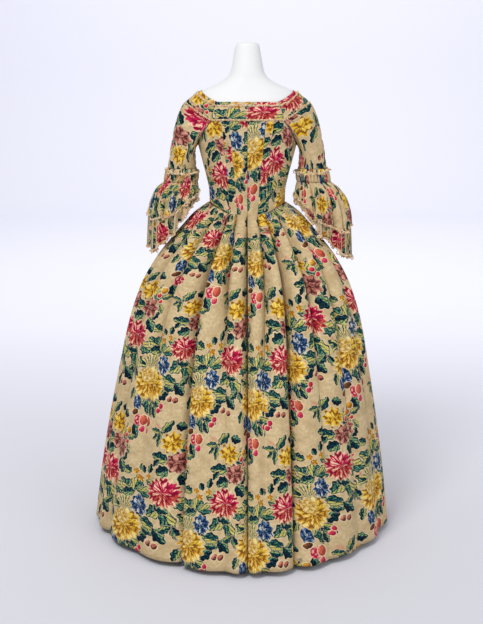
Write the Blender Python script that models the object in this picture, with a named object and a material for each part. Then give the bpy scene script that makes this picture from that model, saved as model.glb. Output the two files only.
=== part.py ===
"""Robe a l anglaise on a limbless dress form.

Metres, +Z up. The gown's front looks along -Y and the wearer's left is +X.
The stand's foot rests on the floor at the origin.
"""
import math

import bpy
import numpy as np

CLOTH = 0.0016        # wall of every cloth piece
SEAM = 0.0004         # space between two pieces at a seam
HEM_Z = 0.018         # hem above the floor
SIDE_PHI = math.pi / 2
LAST_CELL = 11        # pleats on each side, centre back to centre front
EN_FOURREAU = 12      # bodice columns that go on below the waist
BODICE_ROWS = 8
BACK_EXTRA = 6        # bodice columns between the stitched pleats and the side seam
LAP = 0.0032          # the sleeve's edge laps over the panels at the armhole
ARM_STEPS = 10
SLEEVE_STEPS = 7
HEADING_GATHERS = 18

# Torso sections: height, half width, depth at the back, depth at the front, roundness.
TORSO_COLUMNS = ("z", "half", "back", "front", "power")
TORSO = (
    (0.880, 0.128, 0.094, -0.114, 2.2),
    (0.940, 0.124, 0.090, -0.111, 2.2),
    (0.994, 0.118, 0.086, -0.106, 2.2),
    (1.030, 0.119, 0.088, -0.108, 2.2),
    (1.070, 0.1265, 0.093, -0.115, 2.3),
    (1.120, 0.1395, 0.098, -0.126, 2.35),
    (1.170, 0.152, 0.102, -0.134, 2.4),
    (1.210, 0.164, 0.102, -0.132, 2.4),
    (1.247, 0.176, 0.098, -0.121, 2.4),
    (1.275, 0.185, 0.092, -0.106, 2.35),
    (1.301, 0.187, 0.084, -0.087, 2.3),
    (1.320, 0.166, 0.074, -0.068, 2.2),
    (1.338, 0.138, 0.066, -0.056, 2.15),
    (1.356, 0.094, 0.058, -0.050, 2.1),
    (1.374, 0.065, 0.051, -0.049, 2.0),
    (1.392, 0.0515, 0.046, -0.050, 2.0),
    (1.420, 0.0455, 0.040, -0.052, 2.0),
    (1.450, 0.0405, 0.034, -0.051, 2.0),
    (1.478, 0.0345, 0.028, -0.046, 2.0),
)

# Skirt sections: share of the fall, half width left and right, back, front, centre.
SKIRT_COLUMNS = ("fall", "left", "right", "back", "front", "middle")
SKIRT = (
    (0.000, 0.1215, 0.1215, 0.0890, -0.1090, 0.000),
    (0.012, 0.1400, 0.1400, 0.1000, -0.1170, 0.002),
    (0.032, 0.1660, 0.1650, 0.1220, -0.1310, 0.006),
    (0.065, 0.1960, 0.1940, 0.1550, -0.1500, 0.014),
    (0.110, 0.2340, 0.2310, 0.1980, -0.1720, 0.026),
    (0.170, 0.2800, 0.2750, 0.2480, -0.1950, 0.042),
    (0.250, 0.3240, 0.3160, 0.2980, -0.2150, 0.058),
    (0.360, 0.3600, 0.3490, 0.3530, -0.2390, 0.076),
    (0.500, 0.3900, 0.3740, 0.4110, -0.2640, 0.090),
    (0.660, 0.4220, 0.3990, 0.4700, -0.2870, 0.102),
    (0.830, 0.4500, 0.4220, 0.5290, -0.3090, 0.112),
    (1.000, 0.4720, 0.4400, 0.5840, -0.3300, 0.120),
)

# How the pleats fall: share of the fall, depth of a valley, face's share of a pleat.
FOLD_COLUMNS = ("fall", "depth", "face")
FOLDS = (
    (0.000, 0.0015, 0.80),
    (0.012, 0.0045, 0.80),
    (0.030, 0.0100, 0.80),
    (0.060, 0.0180, 0.79),
    (0.100, 0.0245, 0.78),
    (0.210, 0.0290, 0.72),
    (0.380, 0.0270, 0.66),
    (0.610, 0.0220, 0.60),
    (0.870, 0.0170, 0.54),
    (1.000, 0.0150, 0.52),
)

# The line between two pleats: distance round the waist, angle at the hem, depth.
PLEAT_COLUMNS = ("waist", "hem_deg", "deep")
PLEATS = {
    "left": (
        (0.000, 0.0, 0.60),
        (0.032, 7.0, 0.85),
        (0.056, 23.0, 1.15),
        (0.088, 39.0, 0.80),
        (0.120, 56.0, 1.10),
        (0.150, 73.0, 0.85),
        (0.181, 90.0, 1.15),
        (0.212, 107.0, 0.80),
        (0.242, 124.0, 1.05),
        (0.272, 142.0, 0.85),
        (0.300, 160.0, 0.70),
        (0.356, 180.0, 0.00),
    ),
    "right": (
        (0.000, 0.0, 0.60),
        (0.032, 5.0, 0.70),
        (0.056, 16.5, 1.30),
        (0.087, 33.0, 1.15),
        (0.118, 50.0, 0.85),
        (0.149, 68.0, 1.10),
        (0.180, 86.0, 0.80),
        (0.211, 104.0, 1.10),
        (0.242, 122.0, 0.85),
        (0.272, 140.0, 1.00),
        (0.300, 159.0, 0.70),
        (0.356, 180.0, 0.00),
    ),
}

# Waist seam: distance round the waist, height.
WAIST_COLUMNS = ("waist", "z")
WAIST = (
    (0.000, 0.962),
    (0.056, 0.965),
    (0.110, 0.985),
    (0.160, 0.994),
    (0.240, 0.985),
    (0.300, 0.965),
    (0.356, 0.945),
)

# Stitched pleats of the bodice back: height, edge of the first, edge of the second.
STRIP_COLUMNS = ("z", "first", "second")
STRIPS = (
    (0.962, 0.0315, 0.0545),
    (1.050, 0.0370, 0.0590),
    (1.150, 0.0470, 0.0685),
    (1.247, 0.0560, 0.0790),
)

# Neck and armhole corners on the torso: distance from the centre, height.
BAND_TOP = (0.090, 1.302)
BAND_FOOT = (0.109, 1.247)
RIDGE_NECK_Z = 1.338
RIDGE_ARM_Z = 1.301
FRONT_NECK = (0.108, 1.232)
FRONT_ARM = (0.130, 1.188)
UNDERARM_Z = 1.168

# Flounce outline below the heading: drop, middle, half width across, half depth.
CUFF_COLUMNS = ("drop", "middle_x", "middle_y", "across", "depth")
CUFF = (
    (0.000, 0.2055, -0.012, 0.0480, 0.0540),
    (0.040, 0.2080, -0.010, 0.0530, 0.0580),
    (0.060, 0.2180, -0.006, 0.0670, 0.0690),
    (0.100, 0.2290, -0.002, 0.0830, 0.0830),
    (0.160, 0.2360, 0.002, 0.0880, 0.0900),
    (0.300, 0.2420, 0.006, 0.0900, 0.0940),
)
SLEEVE_END_Z = 1.098
HEADING_DROP = 0.040
TIER_SEWN = CLOTH + 0.0004   # the lower tier lies inside the upper one where both are sewn
TIER_STEP = 0.0055    # and stands this far inside it lower down
TIER_WAVES = 9
FRINGE_RADIUS = 0.0026
SPREAD = {"left": 0.90, "right": 1.0}   # how far each side's flounces stand out

# Flounce lengths below the heading, by the direction in which the edge lies.
TIER_COLUMNS = ("tier", "outer", "outer_back", "back", "inner_back", "inner", "inner_front", "front", "outer_front")
TIERS = (
    ("upper_left", 0.098, 0.112, 0.096, 0.052, 0.028, 0.034, 0.060, 0.085),
    ("lower_left", 0.200, 0.208, 0.160, 0.078, 0.046, 0.060, 0.120, 0.175),
    ("upper_right", 0.135, 0.152, 0.125, 0.062, 0.040, 0.044, 0.080, 0.115),
    ("lower_right", 0.235, 0.225, 0.168, 0.084, 0.056, 0.066, 0.125, 0.190),
)

# The form lies this far inside the bodice.
FORM_GAP_COLUMNS = ("z", "gap")
FORM_GAP = ((0.88, 0.0105), (1.03, 0.0095), (1.12, 0.0060), (1.20, 0.0052), (1.34, 0.0052), (1.39, 0.0))
FORM_FOOT_Z = 0.880
FORM_COLUMNS = 24
BASE_RADIUS = 0.190
BASE_TOP = 0.010
POLE_RADIUS = 0.016
POLE_GAP = 0.0003

SIDES = (("left", 1.0), ("right", -1.0))


def column(table, names, wanted, at):
    """One named column of a table, read at a value of its first column."""
    index = names.index(wanted)
    known = [row[0] for row in table]
    return float(np.interp(at, known, [row[index] for row in table]))


def smooth_column(table, names, wanted, at):
    """The same column, read along a monotone curve through the rows."""
    index = names.index(wanted)
    known = np.array([row[0] for row in table])
    values = np.array([row[index] for row in table])
    steps = np.diff(known)
    slopes = np.diff(values) / steps
    tangents = np.zeros(len(known))
    tangents[0], tangents[-1] = slopes[0], slopes[-1]
    for i in range(1, len(known) - 1):
        before, after = slopes[i - 1], slopes[i]
        if before * after > 0:
            tangents[i] = 2 * before * after / (before + after)
    at = min(max(at, known[0]), known[-1])
    i = min(int(np.searchsorted(known, at, side="right")) - 1, len(steps) - 1)
    s = (at - known[i]) / steps[i]
    return float((1 + 2 * s) * (1 - s) ** 2 * values[i] + s * (1 - s) ** 2 * steps[i] * tangents[i]
                 + s * s * (3 - 2 * s) * values[i + 1] + s * s * (s - 1) * steps[i] * tangents[i + 1])


def torso(name, z):
    return smooth_column(TORSO, TORSO_COLUMNS, name, z)


def torso_point(phi, z, out=0.0):
    """Outer face of the bodice: angle from the centre back, height."""
    half, power = torso("half", z) + out, torso("power", z)
    x = half * math.sin(phi) ** (2 / power)
    along = math.cos(phi)
    reach = torso("back", z) + out if along > 0 else torso("front", z) - out
    return np.array([x, reach * abs(along) ** (2 / power), z])


def angle_at(x, z, front=False):
    """The angle at which the bodice is x from the centre line."""
    ratio = min(x / torso("half", z), 1.0)
    phi = math.asin(ratio ** (torso("power", z) / 2))
    return math.pi - phi if front else phi


def waist_angles():
    """Angles at the waist seam for distances round it, from the centre back."""
    angles = np.linspace(0, math.pi, 361)
    points = np.array([torso_point(a, 0.98) for a in angles])
    lengths = np.concatenate([[0], np.cumsum(np.linalg.norm(np.diff(points, axis=0), axis=1))])
    return angles, lengths * PLEATS["left"][-1][0] / lengths[-1]


WAIST_ANGLES, WAIST_LENGTHS = waist_angles()


def seam_z(phi):
    """Height of the waist seam at an angle."""
    length = float(np.interp(phi, WAIST_ANGLES, WAIST_LENGTHS))
    return smooth_column(WAIST, WAIST_COLUMNS, "z", length)


def band_edge_phi(z):
    """Angle of the mitre between neck band and robing."""
    share = (z - BAND_FOOT[1]) / (BAND_TOP[1] - BAND_FOOT[1])
    low, high = angle_at(*BAND_FOOT), angle_at(*BAND_TOP)
    return low + (high - low) * share


PHI_BACK_ARM = angle_at(*BAND_FOOT)
PHI_FRONT_ARM = angle_at(*FRONT_ARM, front=True)
PHI_FRONT_NECK = angle_at(*FRONT_NECK, front=True)


def armhole_low(phi):
    """Lower edge of the armhole at an angle."""
    end_phi, end_z = (PHI_BACK_ARM, BAND_FOOT[1]) if phi < SIDE_PHI else (PHI_FRONT_ARM, FRONT_ARM[1])
    share = abs((phi - SIDE_PHI) / (end_phi - SIDE_PHI))
    return UNDERARM_Z + (end_z - UNDERARM_Z) * min(share, 1.0) ** 1.7


def bodice_top(phi):
    """Upper edge of the bodice panels at an angle."""
    if phi <= PHI_BACK_ARM:
        return BAND_FOOT[1]
    if phi < PHI_FRONT_ARM:
        return armhole_low(phi)
    if phi < PHI_FRONT_NECK:
        share = (phi - PHI_FRONT_ARM) / (PHI_FRONT_NECK - PHI_FRONT_ARM)
        return FRONT_ARM[1] + (FRONT_NECK[1] - FRONT_ARM[1]) * share
    return FRONT_NECK[1]


def robing_edge(s, neck):
    """Neck edge or arm edge of the robing, back corner to front corner."""
    if neck:
        ends, top = (BAND_TOP, FRONT_NECK), RIDGE_NECK_Z
    else:
        ends, top = (BAND_FOOT, FRONT_ARM), RIDGE_ARM_Z
    start, stop = angle_at(*ends[0]), angle_at(*ends[1], front=True)
    if s < 0.5:
        phi, low = start + (SIDE_PHI - start) * s * 2, ends[0][1]
    else:
        phi, low = SIDE_PHI + (stop - SIDE_PHI) * (s * 2 - 1), ends[1][1]
    rise = 1 - abs(2 * s - 1) ** 1.8
    return phi, low + (top - low) * rise


def normals_of(grid, closed=False):
    """Outward direction and corner stretch at each point of a grid of rows."""
    if closed:
        left, right = np.roll(grid, 1, axis=1), np.roll(grid, -1, axis=1)
    else:
        left = np.concatenate([2 * grid[:, :1] - grid[:, 1:2], grid[:, :-1]], axis=1)
        right = np.concatenate([grid[:, 1:], 2 * grid[:, -1:] - grid[:, -2:-1]], axis=1)
    above = np.concatenate([2 * grid[:1] - grid[1:2], grid[:-1]], axis=0)
    below = np.concatenate([grid[1:], 2 * grid[-1:] - grid[-2:-1]], axis=0)
    fall = unit(unit(grid - above) + unit(below - grid))
    first = unit(np.cross(unit(grid - left), fall))
    second = unit(np.cross(unit(right - grid), fall))
    middle = unit(first + second)
    lean = np.clip(np.sum(middle * first, axis=2, keepdims=True), 0.62, 1.0)
    return middle, 1 / lean


def unit(vectors):
    lengths = np.linalg.norm(vectors, axis=-1, keepdims=True)
    return vectors / np.maximum(lengths, 1e-9)


def shell(name, outer, normal, stretch, material, closed=False, wall=CLOTH, missing=None, mirror=False):
    """A closed cloth wall on a grid of outer points, rows running down."""
    inner = outer - normal * stretch * wall
    rows, cols = outer.shape[:2]
    missing = missing or (lambda i, j: False)
    faces, used = [], {}
    flat = outer.reshape(-1, 3)
    across = cols if closed else cols - 1
    for i in range(rows - 1):
        for j in range(across):
            if missing(i, j):
                continue
            a, b = i * cols + j, i * cols + (j + 1) % cols
            c, d = b + cols, a + cols
            # Both faces of the wall are cut along the same diagonal, so that they never cross.
            if np.linalg.norm(flat[a] - flat[c]) < np.linalg.norm(flat[b] - flat[d]):
                faces += [(a, b, c), (a, c, d)]
            else:
                faces += [(a, b, d), (b, c, d)]
            for edge in ((a, b), (b, c), (c, d), (d, a)):
                used[edge] = True
    count = rows * cols
    solid = list(faces)
    solid += [tuple(reversed([v + count for v in ring])) for ring in faces]
    solid += [(b, a, a + count, b + count) for a, b in used if (b, a) not in used]
    points = np.concatenate([outer.reshape(-1, 3), inner.reshape(-1, 3)])
    return body(name, points, solid, material, mirror)


def body(name, points, faces, material, mirror=False):
    """One named closed object from points and faces."""
    points = np.array(points, dtype=float)
    if mirror:
        points = points * np.array([-1.0, 1.0, 1.0])
        faces = [tuple(reversed(face)) for face in faces]
    kept = sorted({v for face in faces for v in face})
    place = {v: i for i, v in enumerate(kept)}
    mesh = bpy.data.meshes.new(name)
    mesh.from_pydata([tuple(points[v]) for v in kept], [], [tuple(place[v] for v in face) for face in faces])
    mesh.validate()
    mesh.materials.append(material)
    made = bpy.data.objects.new(name, mesh)
    bpy.context.scene.collection.objects.link(made)
    return made


def material(name, color, roughness, metallic=0.0):
    made = bpy.data.materials.new(name)
    made.use_nodes = True
    shader = made.node_tree.nodes["Principled BSDF"]
    shader.inputs["Base Color"].default_value = (*color, 1.0)
    shader.inputs["Roughness"].default_value = roughness
    shader.inputs["Metallic"].default_value = metallic
    return made


def bodice_columns():
    """Columns of the bodice from centre back to centre front, as functions of height.

    The first twelve are the stitched pleats and go on into the skirt.
    """
    def strip(name, z):
        return column(STRIPS, STRIP_COLUMNS, name, z)

    groove, lip = 0.0012, 0.0030
    columns = [
        (lambda z: 0.0, 0.0),
        (lambda z: groove, 0.0),
        (lambda z: lip, 0.0012),
        (lambda z: strip("first", z) * 0.5, 0.0014),
        (lambda z: strip("first", z) - lip, 0.0016),
        (lambda z: strip("first", z) - groove, 0.0),
        (lambda z: strip("first", z) + groove, 0.0),
        (lambda z: strip("first", z) + lip, 0.0008),
        (lambda z: (strip("first", z) + strip("second", z)) * 0.5, 0.0010),
        (lambda z: strip("second", z) - lip, 0.0012),
        (lambda z: strip("second", z) - groove, 0.0),
        (lambda z: strip("second", z), 0.0),
    ]
    return columns


def bodice_grid():
    """Rows from the top of the bodice to the waist seam, columns centre back to front."""
    def height(phi, v):
        top, foot = bodice_top(phi), seam_z(phi)
        return top + (foot - top) * v

    rows = []
    for i in range(BODICE_ROWS + 1):
        v = i / BODICE_ROWS
        row = []
        for reach, lift in bodice_columns():
            z = BAND_FOOT[1] + (0.962 - BAND_FOOT[1]) * v
            z = height(angle_at(reach(z), z), v)
            row.append(torso_point(angle_at(reach(z), z), z, lift))
        z = BAND_FOOT[1] + (0.965 - BAND_FOOT[1]) * v
        edge = angle_at(column(STRIPS, STRIP_COLUMNS, "second", z), z)
        turns = [edge + (PHI_BACK_ARM - edge) * k / 2 for k in (1, 2)]
        turns += [PHI_BACK_ARM + (SIDE_PHI - PHI_BACK_ARM) * k / 4 for k in (1, 2, 3, 4)]
        spread = (0.25, 0.5, 0.75, 1.0)
        turns += [SIDE_PHI + (PHI_FRONT_ARM - SIDE_PHI) * k for k in spread]
        turns += [PHI_FRONT_NECK + (math.pi - PHI_FRONT_NECK) * k / 3 for k in range(4)]
        for phi in turns:
            row.append(torso_point(phi, height(phi, v)))
        rows.append(row)
    return np.array(rows)


def skirt_angle(side, cell, part, fall):
    """Angle of a place in a pleat: at the waist by its length, at the hem by its angle."""
    table = PLEATS[side]
    known = range(len(table))
    at = cell + part
    length = float(np.interp(at, known, [row[0] for row in table]))
    waist = float(np.interp(length, WAIST_LENGTHS, WAIST_ANGLES))
    hem = math.radians(float(np.interp(at, known, [row[1] for row in table])))
    ease = min(fall / 0.55, 1.0)
    ease = ease * (2 - ease)
    return waist + (hem - waist) * ease


def skirt_point(side, cell, part, depth, bulge, fall):
    """A point of the skirt's outer face."""
    phi = skirt_angle(side, cell, part, fall)

    def section(name):
        return smooth_column(SKIRT, SKIRT_COLUMNS, name, fall)

    half, middle = section(side), section("middle")
    power = 2.2 - 0.35 * fall
    reach = section("back") - middle if math.cos(phi) > 0 else middle - section("front")
    along = math.copysign(abs(math.cos(phi)) ** (2 / power), math.cos(phi))
    inward = depth - bulge
    scale_x, scale_y = 1 - inward / half, 1 - inward / reach
    top = seam_z(waist_phi(side, cell, part))
    z = top + (HEM_Z - top) * fall
    return np.array([half * scale_x * math.sin(phi) ** (2 / power), middle + reach * scale_y * along, z])


def waist_phi(side, cell, part):
    table = PLEATS[side]
    length = float(np.interp(cell + part, range(len(table)), [row[0] for row in table]))
    return float(np.interp(length, WAIST_LENGTHS, WAIST_ANGLES))


def skirt_columns():
    """The skirt's columns: the pleat's number and the place in the pleat."""
    places = []
    for cell in range(LAST_CELL):
        places += [(cell, "edge"), (cell, "foot_in"), (cell, "lip_in"), (cell, "crest"), (cell, "lip_out"),
                   (cell, "foot_out")]
    places.append((LAST_CELL - 1, "end"))
    return places


def skirt_place(side, cell, kind, fall):
    """Part of the cell, depth and bulge of a column at a share of the fall."""
    face = column(FOLDS, FOLD_COLUMNS, "face", fall)
    depth = column(FOLDS, FOLD_COLUMNS, "depth", fall)
    start, stop = PLEATS[side][cell][2] * depth, PLEATS[side][cell + 1][2] * depth
    lip = (1 - face) / 2
    foot = lip * 0.55
    crest = 0.006 * math.sin(math.pi * min(fall, 0.5)) + 0.004 * fall
    return {
        "edge": (0.0, start, 0.0),
        "foot_in": (foot, start * 0.94, 0.0),
        "lip_in": (lip, 0.0, 0.0),
        "crest": (0.5, 0.0, crest),
        "lip_out": (1 - lip, 0.0, 0.0),
        "foot_out": (1 - foot, stop * 0.94, 0.0),
        "end": (1.0, stop, 0.0),
    }[kind]


def skirt_grid(side):
    rows = []
    for fall in [row[0] for row in SKIRT]:
        row = []
        for cell, kind in skirt_columns():
            part, depth, bulge = skirt_place(side, cell, kind, fall)
            row.append(skirt_point(side, cell, part, depth, bulge, fall))
        rows.append(row)
    return np.array(rows)


def shift_edge(grid, index, inward, amount):
    """Moves one column of a grid toward its neighbour."""
    neighbour = grid[:, index + inward]
    grid[:, index] += unit(neighbour - grid[:, index]) * amount


def upright(normal, index):
    """Keeps a column's direction in the middle plane, for a seam on it."""
    normal[:, index, 0] = 0.0
    normal[:, index] = unit(normal[:, index])


def gown_panels(side, mirror, cloth):
    """Bodice and skirt of one side."""
    upper = bodice_grid()
    lower = skirt_grid(side)
    lower[:, 0, 0] = 0.0
    lower[:, -1, 0] = 0.0
    upper[:, 0, 0] = 0.0
    upper[:, -1, 0] = 0.0

    # Centre back: the bodice's first columns run on to the hem.
    seam_row = upper.shape[0] - 1
    skirt_cols = [0, 1, 2, 3, 4, 5, 7, 8, 9, 10, 11, 12]
    joined_lower = lower[1:, skirt_cols]
    side_cols = EN_FOURREAU + BACK_EXTRA
    back = np.concatenate([upper[:, :side_cols], np.zeros((joined_lower.shape[0], side_cols, 3))])
    back[seam_row + 1:, :EN_FOURREAU] = joined_lower
    hidden = back[seam_row + 1:, EN_FOURREAU:]
    hidden += back[seam_row + 1:, EN_FOURREAU - 1:EN_FOURREAU]
    hidden += np.arange(1, BACK_EXTRA + 1)[None, :, None] * 0.001

    normal, stretch = normals_of(upper)
    upright(normal, 0)
    upright(normal, -1)
    long_grid = back[:, :EN_FOURREAU]
    long_normal, long_stretch = normals_of(long_grid)
    upright(long_normal, 0)
    lower_normal, lower_stretch = normals_of(lower)
    upright(lower_normal, 0)
    upright(lower_normal, -1)
    # The last long column takes the direction that both neighbours share.
    long_normal[seam_row + 1:, -1] = lower_normal[1:, 12]
    long_stretch[seam_row + 1:, -1] = lower_stretch[1:, 12]
    edge = upper[-1]
    turn = np.arctan2(edge[:, 0], edge[:, 1])
    lower[0, :, 2] = np.interp(np.arctan2(lower[0, :, 0], lower[0, :, 1]), turn, edge[:, 2])
    lower[0, 12] = upper[-1, EN_FOURREAU - 1]
    lower_normal[0, 12] = normal[-1, EN_FOURREAU - 1]
    long_normal[:seam_row + 1, -1] = normal[:, EN_FOURREAU - 1]
    long_stretch[:seam_row + 1, -1] = stretch[:, EN_FOURREAU - 1]
    lower_stretch[0, 12] = stretch[-1, EN_FOURREAU - 1]

    back_normal = np.zeros_like(back)
    back_stretch = np.ones(back.shape[:2] + (1,))
    back_normal[:seam_row + 1] = normal[:, :side_cols]
    back_stretch[:seam_row + 1] = stretch[:, :side_cols]
    back_normal[:, :EN_FOURREAU] = long_normal
    back_stretch[:, :EN_FOURREAU] = long_stretch
    shift_edge(back[:seam_row + 1], 0, 1, SEAM / 2)
    back[seam_row + 1:, 0, 0] += SEAM / 2
    shift_edge(back[seam_row + 1:, :EN_FOURREAU], EN_FOURREAU - 1, -1, SEAM / 2)
    shift_edge(back[:seam_row + 1], side_cols - 1, -1, SEAM / 2)
    shell(f"back_{side}", back, back_normal, back_stretch, cloth, mirror=mirror,
          missing=lambda i, j: i >= seam_row and j >= EN_FOURREAU - 1)

    front = upper[:, side_cols - 1:].copy()
    front_normal = normal[:, side_cols - 1:]
    front_stretch = stretch[:, side_cols - 1:]
    shift_edge(front, 0, 1, SEAM / 2)
    front[:, -1, 0] += SEAM / 2
    shell(f"front_{side}", front, front_normal, front_stretch, cloth, mirror=mirror)

    # Side and front widths of the skirt, joined in the valley of a pleat.
    cuts = (12, 36, lower.shape[1] - 1)
    for name, first, last in (("skirt_side", cuts[0], cuts[1]), ("skirt_front", cuts[1], cuts[2])):
        panel = lower[:, first:last + 1].copy()
        panel[0, :, 2] -= 1.5 * SEAM
        shift_edge(panel, 0, 1, SEAM / 2)
        if name == "skirt_front":
            falls = np.array([row[0] for row in SKIRT])
            panel[:, -1, 0] += SEAM / 2 + 0.006 * falls
        else:
            shift_edge(panel, -1, -1, SEAM / 2)
        shell(f"{name}_{side}", panel, lower_normal[:, first:last + 1], lower_stretch[:, first:last + 1], cloth,
              mirror=mirror)


def neck_band(cloth):
    rows = []
    for z in np.linspace(BAND_TOP[1], BAND_FOOT[1] + SEAM, 4):
        edge = band_edge_phi(z)
        row = []
        for share in np.linspace(-1, 1, 15):
            point = torso_point(abs(share) * edge, z, 0.0008)
            point[0] *= np.sign(share)
            row.append(point)
        rows.append(row)
    grid = np.array(rows)
    shift_edge(grid, 0, 1, SEAM / 2)
    shift_edge(grid, -1, -1, SEAM / 2)
    normal, stretch = normals_of(grid)
    shell("neck_band", grid, normal, stretch, cloth)


def robing(side, mirror, cloth):
    rows = []
    for share in (0.0, 0.34, 0.67, 1.0):
        row = []
        for s in np.linspace(0, 1, 15):
            phi_a, z_a = robing_edge(s, True)
            phi_b, z_b = robing_edge(s, False)
            phi, z = phi_a + (phi_b - phi_a) * share, z_a + (z_b - z_a) * share
            row.append(torso_point(phi, z, 0.0008))
        rows.append(row)
    grid = np.array(rows)
    normal, stretch = normals_of(grid)
    shift_edge(grid, 0, 1, SEAM)
    shift_edge(grid, -1, -1, SEAM)
    shell(f"robing_{side}", grid, normal, stretch, cloth, mirror=mirror)


def armhole_loop():
    """Closed edge of the armhole: over the shoulder to the front, then back under the arm."""
    loop = []
    for k in range(ARM_STEPS):
        phi, z = robing_edge(k / ARM_STEPS, False)
        loop.append(torso_point(phi, z, LAP))
    for k in range(ARM_STEPS):
        phi = PHI_FRONT_ARM + (PHI_BACK_ARM - PHI_FRONT_ARM) * k / ARM_STEPS
        loop.append(torso_point(phi, armhole_low(phi), LAP))
    return np.array(loop)


def cuff(name, drop):
    return smooth_column(CUFF, CUFF_COLUMNS, name, drop)


def cuff_point(turn, drop, out=0.0):
    """A point round the sleeve's end: turn 0 is the outer side, a quarter is the back."""
    x = cuff("middle_x", drop) + (cuff("across", drop) + out) * math.cos(turn)
    y = cuff("middle_y", drop) + (cuff("depth", drop) + out) * math.sin(turn)
    return np.array([x, y, SLEEVE_END_Z - drop])


def sleeve(side, mirror, cloth):
    start = armhole_loop()
    count = len(start)
    # Over the shoulder the loop takes the outer side, under the arm the rest.
    places = np.arange(count) / ARM_STEPS
    turns = np.radians(np.interp(places, (0, 1, 2), (75, -75, -285)))
    rows = []
    for i in range(SLEEVE_STEPS + 1):
        s = i / SLEEVE_STEPS
        row = []
        for k in range(count):
            end = cuff_point(turns[k], 0.0)
            up = (start[k][2] - UNDERARM_Z) / (RIDGE_ARM_Z - UNDERARM_Z)
            pull = 0.035 + 0.085 * up
            lead = np.array([0.80, -0.35 * start[k][1] / 0.09, -0.45]) * pull
            land = np.array([0.06, 0.0, -1.0]) * (0.045 + 0.05 * up)
            row.append((2 * s ** 3 - 3 * s ** 2 + 1) * start[k] + (s ** 3 - 2 * s ** 2 + s) * lead
                       + (3 * s ** 2 - 2 * s ** 3) * end + (s ** 3 - s ** 2) * land)
        rows.append(row)
    grid = facing_out(np.array(rows))
    normal, stretch = normals_of(grid, closed=True)
    shell(f"sleeve_{side}", grid, normal, stretch, cloth, closed=True, mirror=mirror)


def facing_out(grid):
    """The same closed grid, with its columns in the order that faces outward."""
    normal, _ = normals_of(grid, closed=True)
    if np.sum(normal * (grid - grid.mean(axis=1, keepdims=True))) < 0:
        return grid[:, ::-1]
    return grid


def heading(side, mirror, cloth):
    """Gathered band under the sleeve's end."""
    rows = []
    for drop, swell in ((SEAM, 0.2), (0.5 * HEADING_DROP, 1.0), (HEADING_DROP - SEAM, 0.7)):
        row = []
        for k in range(HEADING_GATHERS * 2):
            turn = math.pi * k / HEADING_GATHERS
            ripple = 0.0016 * swell * (1 if k % 2 else -1)
            row.append(cuff_point(turn, drop, 0.0022 * swell + ripple))
        rows.append(row)
    grid = facing_out(np.array(rows))
    normal, stretch = normals_of(grid, closed=True)
    shell(f"heading_{side}", grid, normal, stretch, cloth, closed=True, mirror=mirror)


def tier_length(name, turn):
    """Length of a tier at a turn, eased between the eight directions."""
    lengths = next(row[1:] for row in TIERS if row[0] == name)
    place = (turn % (2 * math.pi)) / (math.pi / 4)
    first = int(place) % 8
    share = place - int(place)
    share = share * share * (3 - 2 * share)
    return lengths[first] + (lengths[(first + 1) % 8] - lengths[first]) * share


def tier_phase(turn):
    """Phase of the flounce's folds, the same in both tiers so that they nest."""
    return TIER_WAVES * turn + 0.7 * math.sin(2 * turn)


def tier_turns(count):
    """Turns at equal steps of the folds' phase, so that each crest has its column."""
    fine = np.linspace(0, 2 * math.pi, 721)
    phases = [tier_phase(turn) for turn in fine]
    return np.interp(2 * math.pi * TIER_WAVES * np.arange(count) / count, phases, fine)


def tier_wave(turn, drop):
    grow = min(max((drop - HEADING_DROP) / 0.09, 0.0), 1.0)
    return 0.0070 * grow * math.sin(tier_phase(turn))


def tier_drops(length):
    """Distances below the heading's edge at which a tier has its rows."""
    near = (0.0, min(0.012, 0.30 * length), min(0.030, 0.62 * length))
    return near + (0.5 * (near[2] + length), length)


def flounce(tier, side, mirror, cloth):
    name = f"{tier}_{side}"
    start = HEADING_DROP + SEAM
    columns = []
    for turn in tier_turns(TIER_WAVES * 4):
        length = tier_length(name, turn) - 0.004 * abs(math.sin(tier_phase(turn) / 2))
        column_points = []
        for reach in tier_drops(length):
            drop = start + reach
            point = cuff_point(turn, drop, tier_wave(turn, drop))
            ease = min(reach / 0.05, 1.0)
            point[0] = CUFF[0][1] + (point[0] - CUFF[0][1]) * (1 + (SPREAD[side] - 1) * ease)
            column_points.append(point)
        columns.append(column_points)
    grid = facing_out(np.array(columns).transpose(1, 0, 2))
    if tier == "lower":
        # The lower tier is made from the same surface, moved in.
        normal, _ = normals_of(grid, closed=True)
        apart = np.array([TIER_SEWN, 0.0040, TIER_STEP, TIER_STEP, TIER_STEP])
        grid = grid - normal * apart[:, None, None]
    normal, stretch = normals_of(grid, closed=True)
    shell(f"flounce_{name}", grid, normal, stretch, cloth, closed=True, mirror=mirror)
    edge = grid[-1] - normal[-1] * CLOTH / 2
    down = unit(grid[-1] - grid[-2])
    return edge, down, normal[-1]


def fringe(name, edge, down, out, thread, mirror):
    """Fringe as a soft cord just under a flounce's edge."""
    middle = edge + down * (FRINGE_RADIUS + 0.0006)
    ring = [middle + way * FRINGE_RADIUS for way in (-down, out, down, -out)]
    count = len(edge)
    points = np.concatenate(ring)
    faces = []
    for j in range(count):
        n = (j + 1) % count
        for r in range(4):
            q = (r + 1) % 4
            faces.append((r * count + j, r * count + n, q * count + n, q * count + j))
    return body(name, points, faces, thread, mirror)


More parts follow.
